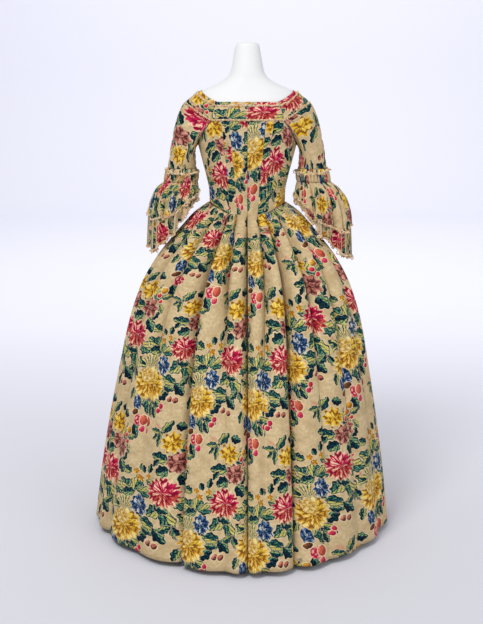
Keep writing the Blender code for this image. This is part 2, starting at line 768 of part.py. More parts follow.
def dress_form(skin):
    """Smooth torso and neck, closed above and below."""
    heights = [0.880, 0.884, 0.900, 0.940, 0.994, 1.030, 1.070, 1.120, 1.170, 1.210, 1.247, 1.275, 1.292, 1.305,
               1.320, 1.338, 1.356, 1.374, 1.392, 1.420, 1.450, 1.470, 1.478]
    shrink = {0.880: 0.012, 0.884: 0.004, 1.478: 0.006, 1.470: 0.0008}
    rows = []
    for z in heights:
        gap = column(FORM_GAP, FORM_GAP_COLUMNS, "gap", z) + shrink.get(z, 0.0)
        row = []
        for k in range(FORM_COLUMNS):
            phi = 2 * math.pi * k / FORM_COLUMNS
            mirrored = phi > math.pi
            point = torso_point(2 * math.pi - phi if mirrored else phi, z, -gap)
            if mirrored:
                point[0] *= -1
            row.append(point)
        rows.append(row)
    grid = np.array(rows)
    count = FORM_COLUMNS
    faces = []
    for i in range(len(heights) - 1):
        for j in range(count):
            n = (j + 1) % count
            faces.append((i * count + j, i * count + n, (i + 1) * count + n, (i + 1) * count + j))
    points = list(grid.reshape(-1, 3))
    last = (len(heights) - 1) * count
    foot = len(points)
    points.append(np.array([0.0, grid[0][:, 1].mean(), heights[0]]))
    cap = len(points)
    points.append(np.array([0.0, grid[-1][:, 1].mean(), heights[-1] + 0.003]))
    for j in range(count):
        n = (j + 1) % count
        faces.append((foot, n, j))
        faces.append((cap, last + j, last + n))
    flipped = [tuple(reversed(face)) for face in faces]
    body("form_body", points, flipped, skin)


def turned(name, profile, count, metal):
    """A solid turned about the stand's axis, from radius and height pairs."""
    points, faces = [], []
    for radius, z in profile:
        points += [(radius * math.cos(2 * math.pi * k / count), radius * math.sin(2 * math.pi * k / count), z)
                   for k in range(count)]
    for i in range(len(profile) - 1):
        for j in range(count):
            n = (j + 1) % count
            faces.append((i * count + j, i * count + n, (i + 1) * count + n, (i + 1) * count + j))
    faces.append(tuple(reversed(range(count))))
    faces.append(tuple((len(profile) - 1) * count + j for j in range(count)))
    return body(name, points, faces, metal)


def build():
    for old in list(bpy.data.objects):
        bpy.data.objects.remove(old, do_unlink=True)
    cloth = material("silk", (0.58, 0.45, 0.30), 0.62)
    thread = material("fringe_silk", (0.80, 0.60, 0.38), 0.75)
    skin = material("form_cover", (0.86, 0.86, 0.84), 0.55)
    metal = material("stand_paint", (0.80, 0.80, 0.79), 0.40)

    for side, sign in SIDES:
        mirror = sign < 0
        gown_panels(side, mirror, cloth)
        robing(side, mirror, cloth)
        sleeve(side, mirror, cloth)
        heading(side, mirror, cloth)
        for tier in ("upper", "lower"):
            edge, down, out = flounce(tier, side, mirror, cloth)
            fringe(f"fringe_{tier}_{side}", edge, down, out, thread, mirror)
    neck_band(cloth)
    dress_form(skin)
    turned("stand_base", ((BASE_RADIUS, 0.0), (BASE_RADIUS, BASE_TOP - 0.002), (BASE_RADIUS - 0.002, BASE_TOP)),
           36, metal)
    turned("stand_pole", ((POLE_RADIUS, BASE_TOP + POLE_GAP), (POLE_RADIUS, FORM_FOOT_Z - POLE_GAP)), 24, metal)


build()
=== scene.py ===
"""Robe a l anglaise of figured silk on a limbless dress form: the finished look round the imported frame.

Metres, +Z up. The back looks along +Y and the wearer's left is +X, as in the frame.
"""
import math

import bmesh
import bpy
import numpy as np
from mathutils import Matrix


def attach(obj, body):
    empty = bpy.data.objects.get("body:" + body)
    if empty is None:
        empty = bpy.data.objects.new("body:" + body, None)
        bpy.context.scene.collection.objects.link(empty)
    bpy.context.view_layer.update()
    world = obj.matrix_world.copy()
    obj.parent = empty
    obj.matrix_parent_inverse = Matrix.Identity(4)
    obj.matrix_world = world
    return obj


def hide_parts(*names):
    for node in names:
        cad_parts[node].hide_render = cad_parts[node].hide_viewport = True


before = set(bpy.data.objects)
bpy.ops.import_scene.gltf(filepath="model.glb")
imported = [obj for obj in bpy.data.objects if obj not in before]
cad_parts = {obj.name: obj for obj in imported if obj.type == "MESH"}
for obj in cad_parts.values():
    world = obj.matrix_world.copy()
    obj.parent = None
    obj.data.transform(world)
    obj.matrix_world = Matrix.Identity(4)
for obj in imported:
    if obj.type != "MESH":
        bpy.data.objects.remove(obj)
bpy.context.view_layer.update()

SILK_WALL = 0.0010      # silk and its lining together
SEAM = 0.0004
REPEAT = (0.190, 0.395)  # one repeat of the figured silk, across and along
HEM_Z = 0.018
SIDE_PHI = math.pi / 2
LAP = 0.0032            # the sleeve's edge laps over the bodice at the armhole
SLEEVE_END_Z = 1.098
HEADING_DROP = 0.040

# Torso sections: height, half width, depth at the back, depth at the front, roundness.
TORSO_COLUMNS = ("z", "half", "back", "front", "power")
TORSO = (
    (0.880, 0.128, 0.094, -0.114, 2.2),
    (0.940, 0.124, 0.090, -0.111, 2.2),
    (0.994, 0.118, 0.086, -0.106, 2.2),
    (1.030, 0.119, 0.088, -0.108, 2.2),
    (1.070, 0.1265, 0.093, -0.115, 2.3),
    (1.120, 0.1395, 0.098, -0.126, 2.35),
    (1.170, 0.152, 0.102, -0.134, 2.4),
    (1.210, 0.164, 0.102, -0.132, 2.4),
    (1.247, 0.176, 0.098, -0.121, 2.4),
    (1.275, 0.185, 0.092, -0.106, 2.35),
    (1.301, 0.187, 0.084, -0.087, 2.3),
    (1.320, 0.166, 0.074, -0.068, 2.2),
    (1.338, 0.138, 0.066, -0.056, 2.15),
    (1.356, 0.094, 0.058, -0.050, 2.1),
    (1.374, 0.065, 0.051, -0.049, 2.0),
    (1.392, 0.0515, 0.046, -0.050, 2.0),
    (1.420, 0.0455, 0.040, -0.052, 2.0),
    (1.450, 0.0405, 0.034, -0.051, 2.0),
    (1.478, 0.0345, 0.028, -0.046, 2.0),
)

# Skirt sections: share of the fall, half width left and right, back, front, centre.
SKIRT_COLUMNS = ("fall", "left", "right", "back", "front", "middle")
SKIRT = (
    (0.000, 0.1215, 0.1215, 0.0890, -0.1090, 0.000),
    (0.012, 0.1400, 0.1400, 0.1000, -0.1170, 0.002),
    (0.032, 0.1660, 0.1650, 0.1220, -0.1310, 0.006),
    (0.065, 0.1960, 0.1940, 0.1550, -0.1500, 0.014),
    (0.110, 0.2340, 0.2310, 0.1980, -0.1720, 0.026),
    (0.170, 0.2800, 0.2750, 0.2480, -0.1950, 0.042),
    (0.250, 0.3240, 0.3160, 0.2980, -0.2150, 0.058),
    (0.360, 0.3600, 0.3490, 0.3530, -0.2390, 0.076),
    (0.500, 0.3900, 0.3740, 0.4110, -0.2640, 0.090),
    (0.660, 0.4220, 0.3990, 0.4700, -0.2870, 0.102),
    (0.830, 0.4500, 0.4220, 0.5290, -0.3090, 0.112),
    (1.000, 0.4720, 0.4400, 0.5840, -0.3300, 0.120),
)

# The skirt's pleats: how deep they lie, how wide the roll is that comes up from under a fold, and how much
# deeper the cleft is.
FOLD_COLUMNS = ("fall", "depth", "roll", "cleft")
FOLDS = (
    (0.000, 0.0030, 0.30, 0.000),
    (0.012, 0.0080, 0.30, 0.006),
    (0.030, 0.0140, 0.32, 0.016),
    (0.060, 0.0200, 0.34, 0.024),
    (0.100, 0.0255, 0.36, 0.029),
    (0.210, 0.0290, 0.38, 0.029),
    (0.380, 0.0260, 0.40, 0.021),
    (0.610, 0.0220, 0.44, 0.012),
    (0.870, 0.0180, 0.48, 0.007),
    (1.000, 0.0165, 0.50, 0.005),
)

# The line between two pleats: distance round the waist, angle at the hem, depth, and what is left of that
# depth at the hem.
PLEAT_COLUMNS = ("waist", "hem_deg", "deep", "left_at_hem")
PLEATS = {
    "left": (
        (0.000, 0.0, 0.85, 0.75),
        (0.032, 9.0, 0.85, 0.10),
        (0.056, 26.0, 1.15, 1.00),
        (0.088, 46.0, 0.80, 0.15),
        (0.120, 65.0, 1.10, 1.00),
        (0.150, 78.0, 0.85, 0.40),
        (0.181, 90.0, 1.15, 0.70),
        (0.212, 107.0, 0.80, 0.35),
        (0.242, 124.0, 1.05, 0.80),
        (0.272, 142.0, 0.85, 0.35),
        (0.300, 160.0, 0.70, 0.60),
        (0.356, 180.0, 0.00, 0.00),
    ),
    "right": (
        (0.000, 0.0, 0.85, 0.75),
        (0.032, 7.0, 0.70, 0.10),
        (0.056, 19.5, 1.30, 1.00),
        (0.087, 34.0, 1.15, 0.12),
        (0.118, 50.0, 0.85, 0.20),
        (0.149, 68.0, 1.10, 0.35),
        (0.180, 86.0, 0.80, 0.60),
        (0.211, 104.0, 1.10, 0.40),
        (0.242, 122.0, 0.85, 0.70),
        (0.272, 140.0, 1.00, 0.35),
        (0.300, 159.0, 0.70, 0.60),
        (0.356, 180.0, 0.00, 0.00),
    ),
}
PLEAT_COUNT = len(PLEATS["left"]) - 1

# Waist seam: distance round the waist, height.
WAIST_COLUMNS = ("waist", "z")
WAIST = (
    (0.000, 0.962),
    (0.056, 0.965),
    (0.110, 0.985),
    (0.160, 0.994),
    (0.240, 0.985),
    (0.300, 0.965),
    (0.356, 0.945),
)
WAIST_HALF = WAIST[-1][0]       # from the centre back to the centre front
WAIST_BACK = SKIRT[0][3]        # the skirt's depth behind, at the waist
BACK_WAIST_Z = WAIST[0][1]

# Stitched pleats of the bodice back: height, edge of the first, edge of the second.
STRIP_COLUMNS = ("z", "first", "second")
STRIPS = (
    (0.962, 0.0315, 0.0545),
    (1.050, 0.0370, 0.0590),
    (1.150, 0.0470, 0.0685),
    (1.247, 0.0560, 0.0790),
)

# Neck and armhole corners on the torso: distance from the centre, height.
BAND_TOP = (0.090, 1.302)
BAND_FOOT = (0.109, 1.247)
RIDGE_NECK_Z = 1.338
RIDGE_ARM_Z = 1.301
FRONT_NECK = (0.108, 1.232)
FRONT_ARM = (0.130, 1.188)
UNDERARM_Z = 1.168

# Flounce outline below the heading: drop, middle, half width across, half depth.
CUFF_COLUMNS = ("drop", "middle_x", "middle_y", "across", "depth")
CUFF = (
    (0.000, 0.2035, -0.012, 0.0442, 0.0515),
    (0.040, 0.2080, -0.010, 0.0510, 0.0565),
    (0.060, 0.2180, -0.006, 0.0670, 0.0690),
    (0.100, 0.2290, -0.002, 0.0830, 0.0830),
    (0.160, 0.2360, 0.002, 0.0880, 0.0900),
    (0.300, 0.2420, 0.006, 0.0900, 0.0940),
)
TIER_WAVES = 9
SPREAD = {"left": 0.90, "right": 1.0}   # how far each side's flounces stand out

# Flounce lengths below the heading, by the direction in which the edge lies.
TIERS = {
    "upper_left": (0.098, 0.112, 0.096, 0.052, 0.028, 0.034, 0.060, 0.085),
    "lower_left": (0.200, 0.208, 0.160, 0.078, 0.046, 0.060, 0.120, 0.175),
    "upper_right": (0.135, 0.152, 0.125, 0.062, 0.040, 0.044, 0.080, 0.115),
    "lower_right": (0.235, 0.225, 0.168, 0.084, 0.056, 0.066, 0.125, 0.190),
}

# The form under the gown: how far it lies inside, and how its foot and its neck are rounded, as heights and
# as distances in.
FORM_GAP_COLUMNS = ("z", "gap")
FORM_GAP = ((0.88, 0.0105), (1.03, 0.0095), (1.12, 0.0060), (1.20, 0.0052), (1.34, 0.0052), (1.39, 0.0))
FORM_FOOT_Z = 0.880
FORM_TOP_Z = 1.4795
FOOT_ROUND = ((0.880, 0.8805, 0.882, 0.886, 0.893), (0.012, 0.0085, 0.0055, 0.002, 0.0))
NECK_ROUND = ((1.466, 1.470, 1.4735, 1.476, 1.4775, 1.478), (0, 0.0006, 0.0016, 0.0034, 0.006, 0.009))

SIDES = (("left", 1.0), ("right", -1.0))


def column(table, names, wanted):
    index = names.index(wanted)
    return np.array([row[index] for row in table])


def smooth_column(table, names, wanted, at):
    """One named column of a table along a monotone curve through its rows."""
    known, values = column(table, names, names[0]), column(table, names, wanted)
    steps = np.diff(known)
    slopes = np.diff(values) / steps
    tangents = np.zeros(len(known))
    tangents[0], tangents[-1] = slopes[0], slopes[-1]
    for i in range(1, len(known) - 1):
        before, after = slopes[i - 1], slopes[i]
        if before * after > 0:
            tangents[i] = 2 * before * after / (before + after)
    at = np.clip(at, known[0], known[-1])
    i = np.clip(np.searchsorted(known, at, side="right") - 1, 0, len(steps) - 1)
    s = (at - known[i]) / steps[i]
    return ((1 + 2 * s) * (1 - s) ** 2 * values[i] + s * (1 - s) ** 2 * steps[i] * tangents[i]
            + s * s * (3 - 2 * s) * values[i + 1] + s * s * (s - 1) * steps[i] * tangents[i + 1])


def straight_column(table, names, wanted, at):
    return np.interp(at, column(table, names, names[0]), column(table, names, wanted))


def smooth_step(low, high, at):
    share = np.clip((at - low) / (high - low), 0.0, 1.0)
    return share * share * (3 - 2 * share)


def broad(*values):
    """The values as arrays of one shape."""
    return np.broadcast_arrays(*(np.asarray(value, float) for value in values))


def torso(name, z):
    return smooth_column(TORSO, TORSO_COLUMNS, name, z)


def torso_points(phi, z, out=0.0):
    """Outer face of the bodice: angle from the centre back, height, distance out."""
    phi, z, out = broad(phi, z, out)
    power = torso("power", z)
    along = np.cos(phi)
    x = (torso("half", z) + out) * np.sin(np.clip(phi, 0, math.pi)) ** (2 / power)
    reach = np.where(along > 0, torso("back", z) + out, torso("front", z) - out)
    return np.stack([x, reach * np.abs(along) ** (2 / power), z], axis=-1)


def angle_at(x, z, front=False):
    """The angle at which the bodice is x from the centre line."""
    phi = np.arcsin(np.clip(x / torso("half", z), 0, 1) ** (torso("power", z) / 2))
    return math.pi - phi if front else phi


def waist_angles():
    """Angles at the waist seam for distances round it, from the centre back."""
    angles = np.linspace(0, math.pi, 361)
    points = torso_points(angles, 0.98)
    lengths = np.concatenate([[0], np.cumsum(np.linalg.norm(np.diff(points, axis=0), axis=1))])
    return angles, lengths * WAIST_HALF / lengths[-1]


WAIST_ANGLES, WAIST_LENGTHS = waist_angles()
PHI_BACK_ARM = float(angle_at(*BAND_FOOT))
PHI_FRONT_ARM = float(angle_at(*FRONT_ARM, front=True))
PHI_FRONT_NECK = float(angle_at(*FRONT_NECK, front=True))


def seam_z(phi):
    """Height of the waist seam at an angle."""
    return smooth_column(WAIST, WAIST_COLUMNS, "z", np.interp(phi, WAIST_ANGLES, WAIST_LENGTHS))


def armhole_low(phi):
    """Lower edge of the armhole at an angle."""
    phi = np.asarray(phi, float)
    behind = phi < SIDE_PHI
    end_phi = np.where(behind, PHI_BACK_ARM, PHI_FRONT_ARM)
    end_z = np.where(behind, BAND_FOOT[1], FRONT_ARM[1])
    share = np.clip(np.abs((phi - SIDE_PHI) / (end_phi - SIDE_PHI)), 0, 1)
    return UNDERARM_Z + (end_z - UNDERARM_Z) * share ** 1.7


def bodice_top(phi):
    """Upper edge of the bodice panels at an angle."""
    phi = np.asarray(phi, float)
    rise = np.clip((phi - PHI_FRONT_ARM) / (PHI_FRONT_NECK - PHI_FRONT_ARM), 0, 1)
    before = FRONT_ARM[1] + (FRONT_NECK[1] - FRONT_ARM[1]) * rise
    beside = np.where(phi < PHI_FRONT_ARM, armhole_low(phi), before)
    return np.where(phi <= PHI_BACK_ARM, BAND_FOOT[1], beside)


def robing_edge(s, neck):
    """Neck edge or arm edge of the robing, back corner to front corner."""
    ends, top = ((BAND_TOP, FRONT_NECK), RIDGE_NECK_Z) if neck else ((BAND_FOOT, FRONT_ARM), RIDGE_ARM_Z)
    start, stop = float(angle_at(*ends[0])), float(angle_at(*ends[1], front=True))
    s = np.asarray(s, float)
    phi = np.where(s < 0.5, start + (SIDE_PHI - start) * s * 2, SIDE_PHI + (stop - SIDE_PHI) * (s * 2 - 1))
    low = np.where(s < 0.5, ends[0][1], ends[1][1])
    return phi, low + (top - low) * (1 - np.abs(2 * s - 1) ** 1.8)


def spans(grid, axis):
    """Running length along one axis of a grid of points."""
    steps = np.linalg.norm(np.diff(grid, axis=axis), axis=-1)
    zero = np.zeros_like(np.take(steps, [0], axis=axis))
    return np.concatenate([zero, np.cumsum(steps, axis=axis)], axis=axis)


def outward(grid):
    """Direction out of a grid whose rows run down, at each of its points."""
    across = np.gradient(grid, axis=1)
    down = np.gradient(grid, axis=0)
    normal = np.cross(across, down)
    return normal / np.maximum(np.linalg.norm(normal, axis=-1, keepdims=True), 1e-12)


# Sewing the pieces

def mesh_of(name, points, faces, threads=None):
    mesh = bpy.data.meshes.new(name)
    mesh.from_pydata([tuple(p) for p in points], [], [tuple(f) for f in faces])
    if threads is not None:
        layer = mesh.uv_layers.new(name="threads")
        corner = np.zeros(len(mesh.loops), dtype=np.int64)
        mesh.loops.foreach_get("vertex_index", corner)
        layer.data.foreach_set("uv", np.asarray(threads)[corner].astype(np.float32).ravel())
    return mesh


def put_in_scene(name, data):
    made = bpy.data.objects.new(name, data)
    bpy.context.scene.collection.objects.link(made)
    return made


def piece_of(mesh, name, materials):
    for finish in materials:
        mesh.materials.append(finish)
    mesh.polygons.foreach_set("use_smooth", [True] * len(mesh.polygons))
    return put_in_scene(name, mesh)


def sew(name, patches, cloth, mirror=False):
    """A cloth piece from patches of points and threads, joined where their edges meet, with a thin wall."""
    points, faces, threads = [], [], []
    count = 0
    for grid, laid in patches:
        rows, cols = grid.shape[:2]
        index = count + np.arange(rows * cols).reshape(rows, cols)
        quads = np.stack([index[:-1, :-1], index[:-1, 1:], index[1:, 1:], index[1:, :-1]], axis=-1)
        points.append(grid.reshape(-1, 3))
        threads.append(laid.reshape(-1, 2))
        faces.append(quads.reshape(-1, 4))
        count += rows * cols
    points = np.concatenate(points)
    faces = np.concatenate(faces)
    if mirror:
        points = mirrored(points, -1.0)
        faces = faces[:, ::-1]
    mesh = mesh_of(name, points, faces, np.concatenate(threads))
    shape = bmesh.new()
    shape.from_mesh(mesh)
    bmesh.ops.remove_doubles(shape, verts=shape.verts, dist=2e-5)
    shape.to_mesh(mesh)
    shape.free()
    made = piece_of(mesh, name, cloth)
    wall = made.modifiers.new("wall", "SOLIDIFY")
    wall.thickness = SILK_WALL
    wall.offset = -1.0
    wall.material_offset = 1
    wall.material_offset_rim = 0
    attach(made, "root")
    return made


def mirrored(points, sign):
    return points * np.array([sign, 1.0, 1.0])


def tube_facing_out(grid, turns):
    """A ring of columns and their turns, in the order that faces outward."""
    middle = grid.mean(axis=1, keepdims=True)
    if np.sum(outward(grid) * (grid - middle)) < 0:
        return grid[:, ::-1], turns[::-1]
    return grid, turns


# Shapes of the cloth

# Where the columns of a pleat's grid stand, closest together at its fold, and where its rows do.
SPOTS = np.array([0.0, 0.008, 0.02, 0.036, 0.056, 0.08, 0.11, 0.15, 0.20, 0.26, 0.33, 0.41, 0.50, 0.59, 0.68,
                  0.76, 0.83, 0.885, 0.925, 0.952, 0.970, 0.982, 0.990, 0.996, 1.0])
SKIRT_FALLS = np.linspace(0, 1, 92) ** 1.45

# How the figured silk lies on each pleat, in millimetres of its repeat: across at the pleat's inner and outer
# line, and up at both, for three levels of the skirt. A separate program fitted the rows here, in LAID_FLAT and
# in LAID_ROUND to places of flowers and leaves read off the photo, and some were changed later.
LAID_AT = (0.08, 0.42, 1.00)
LEVELS = ("high", "mid", "hem")
LAID_COLUMNS = [f"{way}{line}_{level}" for way in ("", "up_") for level in LEVELS
                for line in ("inner", "outer")]
LAID = {
    "left": (
        (125, 19, 180, 76, 190, 109, -125, -125, -84, -79, -69, -65),
        (45, -78, 80, -89, 109, -40, -136, -133, -84, -78, -65, -55),
        (151, 19, 156, -13, 158, 40, -64, -72, -104, -98, -57, -65),
        (8, -120, 12, -138, 40, -75, -130, -131, -100, -99, -65, -48),
        (148, 25, 150, 25, 150, 25, -105, -107, -95, -99, -70, -64),
        (167, 44, 160, 35, 165, 37, -110, -110, -105, -100, -66, -60),
    ),
    "right": (
        (-65, 47, -48, 51, -28, 34, -115, -117, -82, -85, -49, -45),
        (69, 196, 35, 172, 34, 140, -132, -127, -79, -77, -45, -44),
        (-3, 145, -31, 99, -65, 28, -229, -236, -167, -172, -145, -134),
        (98, 216, 93, 196, 28, 115, -234, -243, -155, -155, -134, -121),
        (157, 281, 165, 256, 115, 218, -209, -206, -173, -175, -121, -118),
        (304, 428, 194, 333, 187, 331, -218, -216, -177, -179, -118, -125),
    ),
}

DIPS = {"left": 0.16, "right": 0.34}        # how far a pleat sinks before its fold
HEM_RADIUS = 0.46                           # of a round hem, for a pleat's width there
ROLL_CLEFT, FOLD_CLEFT = 0.0080, 0.0052     # width of a cleft beside the roll and beside the fold


def rounded_edge(s, edge):
    """A folded edge's round, from 1 at the fold to 0 where the pleat lies flat."""
    return 1 - np.sqrt(1 - (1 - np.clip(s / edge, 0, 1)) ** 2)


def pleat_depth(side, pleat, s, fall):
    """How far a pleat lies back from the skirt's face: it rolls out of one cleft and folds into the next."""
    depth, roll, cleft = (straight_column(FOLDS, FOLD_COLUMNS, name, fall) for name in FOLD_COLUMNS[1:])
    opened = smooth_step(0.12, 0.60, fall)
    lines = PLEATS[side][pleat:pleat + 2]
    start, stop = (deep * (1 + (left_at_hem - 1) * opened) for _, _, deep, left_at_hem in lines)
    waist, hem = lines[1][0] - lines[0][0], HEM_RADIUS * math.radians(lines[1][1] - lines[0][1])
    width = waist + (hem - waist) * fall
    edge = 0.030 + 0.035 * fall
    fold = rounded_edge(1 - s, edge)
    # The right one of the two centre pleats is folded at the centre line too.
    rise = rounded_edge(s, edge) if pleat == 0 and side == "right" else (1 - np.clip(s / roll, 0, 1)) ** 2.4
    dip = DIPS[side] * np.clip((s - 0.5) / 0.5, 0, 1) ** 2
    rising = start * (depth * rise + cleft * np.exp(-(s * width / ROLL_CLEFT) ** 2))
    folding = stop * (depth * np.maximum(fold, dip) + cleft * np.exp(-((1 - s) * width / FOLD_CLEFT) ** 2))
    return np.maximum(rising, folding)


def skirt_row(side, places, fall):
    """One level of the skirt: places are pleat numbers and shares, in one array."""
    known = np.arange(PLEAT_COUNT + 1)
    waist_length, hem = (np.interp(places, known, column(PLEATS[side], PLEAT_COLUMNS, name))
                         for name in ("waist", "hem_deg"))
    waist = np.interp(waist_length, WAIST_LENGTHS, WAIST_ANGLES)
    ease = min(fall / 0.55, 1.0)
    phi = waist + (np.radians(hem) - waist) * ease * (2 - ease)
    half, middle, back, front = (float(smooth_column(SKIRT, SKIRT_COLUMNS, name, fall))
                                 for name in (side, "middle", "back", "front"))
    power = 2.2 - 0.35 * fall
    pleats = np.minimum(places.astype(int), PLEAT_COUNT - 1)
    shares = places - pleats
    inward = np.zeros(len(places))
    for pleat in range(PLEAT_COUNT):
        mine = pleats == pleat
        inward[mine] = pleat_depth(side, pleat, shares[mine], fall)
    crest = 0.006 * math.sin(math.pi * min(fall, 0.5)) + 0.004 * fall
    inward -= crest * np.sin(math.pi * shares) ** 1.5
    # Below the stitched pleats the skirt leaves the waist more slowly.
    inward += 0.75 * (back - WAIST_BACK) * smooth_step(0.06, 0.0, fall) * smooth_step(2.0, 1.4, places)
    along = np.cos(phi)
    reach = np.where(along > 0, back - middle, middle - front)
    top = seam_z(waist)
    x = (half - inward) * np.sin(np.clip(phi, 0, math.pi)) ** (2 / power)
    y = middle + (reach - inward) * np.sign(along) * np.abs(along) ** (2 / power)
    return np.stack([x, y, top + (HEM_Z - top) * fall], axis=-1)


def pleat_places(pleat):
    """The columns of one pleat's grid, the last of them just short of the next pleat."""
    places = pleat + SPOTS
    places[-1] = pleat + 1 - 1e-9
    return places


def pleat_patch(side, pleat):
    return np.array([skirt_row(side, pleat_places(pleat), fall) for fall in SKIRT_FALLS])


HEM_WIDTHS = {side: [float(spans(skirt_row(side, pleat_places(pleat), 1.0)[None], 1)[0, -1])
                     for pleat in range(PLEAT_COUNT)] for side, _ in SIDES}


def pleat_threads(side, pleat, grid):
    """The silk's threads on a pleat, as it is laid; past the table's last row it runs on round the skirt."""
    run = spans(grid, 1)
    rows = LAID[side]
    middle = grid.shape[1] // 2
    fall = spans(grid[:, middle:middle + 1], 0)
    rise = fall[-1] - fall
    if pleat < len(rows):
        laid = dict(zip(LAID_COLUMNS, rows[pleat]))
        inner, outer, up_inner, up_outer = (
            np.interp(SKIRT_FALLS, LAID_AT, [laid[f"{line}_{level}"] for level in LEVELS])[:, None] / 1000
            for line in ("inner", "outer", "up_inner", "up_outer"))
        share = run / run[:, -1:]
        v = rise + up_inner + (up_outer - up_inner) * share
        return np.stack([inner + (outer - inner) * share, v], axis=-1)
    laid = dict(zip(LAID_COLUMNS, rows[-1]))
    sense = 1.0 if side == "right" else -1.0
    base = laid["outer_hem"] / 1000 + sense * sum(HEM_WIDTHS[side][len(rows):pleat + 1])
    u = base - sense * (run[:, -1:] - run)
    return np.stack([u, np.broadcast_to(rise, u.shape) + laid["up_outer_hem"] / 1000], axis=-1)


def strip_edges(z):
    return [straight_column(STRIPS, STRIP_COLUMNS, name, z) for name in ("first", "second")]


BODICE_ROWS = 44


def bodice_height(phi, v):
    top = bodice_top(phi)
    return top + (seam_z(phi) - top) * v


def strip_height(v):
    return BAND_FOOT[1] + (BACK_WAIST_Z - BAND_FOOT[1]) * v


STRIP_RISE = 0.0016         # how far a stitched pleat stands up
STRIP_TUCK = 0.0003         # and what is left of it at its stitches
CENTRE_LIFT = 0.0005        # how high the cloth lies beside the centre seam
CENTRE_SINK = 0.0011        # and how far it dips into that seam


def strip_patch(number):
    """One stitched pleat of the bodice back, from its hidden side to its fold."""
    centre = number == 0
    seam = CENTRE_LIFT if centre else STRIP_TUCK
    lift = (seam + (STRIP_RISE - seam) * smooth_step(0.0, 0.9, SPOTS)
            - (STRIP_RISE - STRIP_TUCK) * smooth_step(0.962, 0.999, SPOTS))
    if centre:
        lift = lift - CENTRE_SINK * (1 - smooth_step(0.0, 0.05, SPOTS))
    rows = []
    for v in np.linspace(0, 1, BODICE_ROWS):
        z = strip_height(v)
        first, second = strip_edges(z)
        low, high = (0.0, first) if centre else (first, second)
        x = low + (high - low) * SPOTS
        z = bodice_height(angle_at(x, z), v)
        rows.append(torso_points(angle_at(x, z), z, lift))
    grid = np.array(rows)
    if centre:
        grid[:, 0, 0] = 0.0
    return grid


def panel_patch(count, start, stop):
    """A bodice panel of some columns between two angles, which may change down the panel."""
    shares = np.linspace(0, 1, count)
    rows = []
    for v in np.linspace(0, 1, BODICE_ROWS):
        low = start(v)
        phi = low + (stop(v) - low) * shares
        rows.append(torso_points(phi, bodice_height(phi, v)))
    return np.array(rows)


def strip_outer_angle(v):
    z = strip_height(v)
    second = strip_edges(z)[1]
    z = float(bodice_height(angle_at(second, z), v))
    return float(angle_at(second, z))


# How the repeat lies on the flat pieces, in millimetres: across at the top's two ends and the foot's two,
# then up at the same four.
LAID_FLAT = {
    "strip_0_left": (86, 26, 30, -20, 108, 120, -161, -138),
    "strip_1_left": (75, 50, 76, 52, 220, 219, -68, -69),
    "side_back_left": (132, -16, 104, 2, 273, 262, 13, 19),
    "front_left": (126, -126, 98, -98, 117, 117, -117, -117),
    "robing_left": (173, -110, 178, -115, 266, 266, 211, 211),
    "strip_0_right": (-25, 29, -7, 27, 92, 86, -168, -182),
    "strip_1_right": (77, 99, 102, 120, 270, 265, -4, -13),
    "side_back_right": (61, 223, 109, 232, 228, 221, -20, -29),
    "front_right": (-126, 126, -98, 98, 117, 117, -117, -117),
    "robing_right": (55, 338, 50, 343, 127, 127, 73, 73),
    "neck_band": (133, -39, 168, -30, 149, 149, 91, 91),
}
# On the pieces in the round: across and up at the top of the outer side, repeats round, and 1 or -1 for the
# way up.
LAID_ROUND = {
    "sleeve_left": (174, 105, 2, -1),
    "sleeve_right": (40, 204, 2, -1),
    "heading_left": (181, 175, 5, 1),
    "heading_right": (156, 369, 5, 1),
    "flounce_upper_left": (181, 136, 5, 1),
    "flounce_upper_right": (156, 330, 5, 1),
    "flounce_lower_left": (113, 289, 5, 1),
    "flounce_lower_right": (71, 314, 5, 1),
}


def laid_flat(grid, name):
    """Threads of a flat piece, eased between its corners."""
    run = spans(grid, 1)
    share = run / run[:, -1:]
    down = spans(grid, 0).mean(axis=1)
    down = (down / down[-1])[:, None]
    ends = [n / 1000 for n in LAID_FLAT[name]]
    threads = [(one + (two - one) * share) * (1 - down) + (three + (four - three) * share) * down
               for one, two, three, four in (ends[:4], ends[4:])]
    return np.stack(threads, axis=-1)


def laid_round(grid, turns, sign, name):
    """Threads of a piece in the round, a whole number of repeats about it."""
    across, up, repeats, way = LAID_ROUND[name]
    v = up / 1000 - way * spans(grid, 0)
    u = way * (sign * repeats * REPEAT[0] * turns[None] / (2 * math.pi)) + across / 1000 + np.zeros(v.shape)
    return np.stack([u, v], axis=-1)


def soft_creases(grid, creases):
    """Moves a grid in and out along listed creases: row, column, slope, length, width, depth."""
    rows, cols = grid.shape[:2]
    down, across = np.meshgrid(np.linspace(0, 1, rows), np.linspace(0, 1, cols), indexing="ij")
    move = np.zeros((rows, cols))
    for row, col, slope, length, width, depth in creases:
        turn = math.radians(slope)
        dx, dy = across - col, down - row
        along = dx * math.cos(turn) + dy * math.sin(turn)
        off = -dx * math.sin(turn) + dy * math.cos(turn)
        move += depth * np.exp(-(along / length) ** 2 - (off / width) ** 2)
    return grid + outward(grid) * move[..., None]


# Where the stitched pleats run on into the skirt, by pleat: across at its two lines, up at the waist, and
# pace down.
TOPS = {"left": {0: (138, 110, -22, 0.67)}, "right": {0: (110, 138, -22, 0.67), 1: (92, 122, 275, 1.0)}}
# The steps in which that silk ends in the skirt: last column and row of each.
TOP_CUTS = ((5, 14), (8, 16), (10, 15), (12, 13), (14, 12), (16, 14), (19, 16), (24, 13))
SKIRT_WIDTHS = (("skirt_side", range(2, 6)), ("skirt_front", range(6, PLEAT_COUNT)))


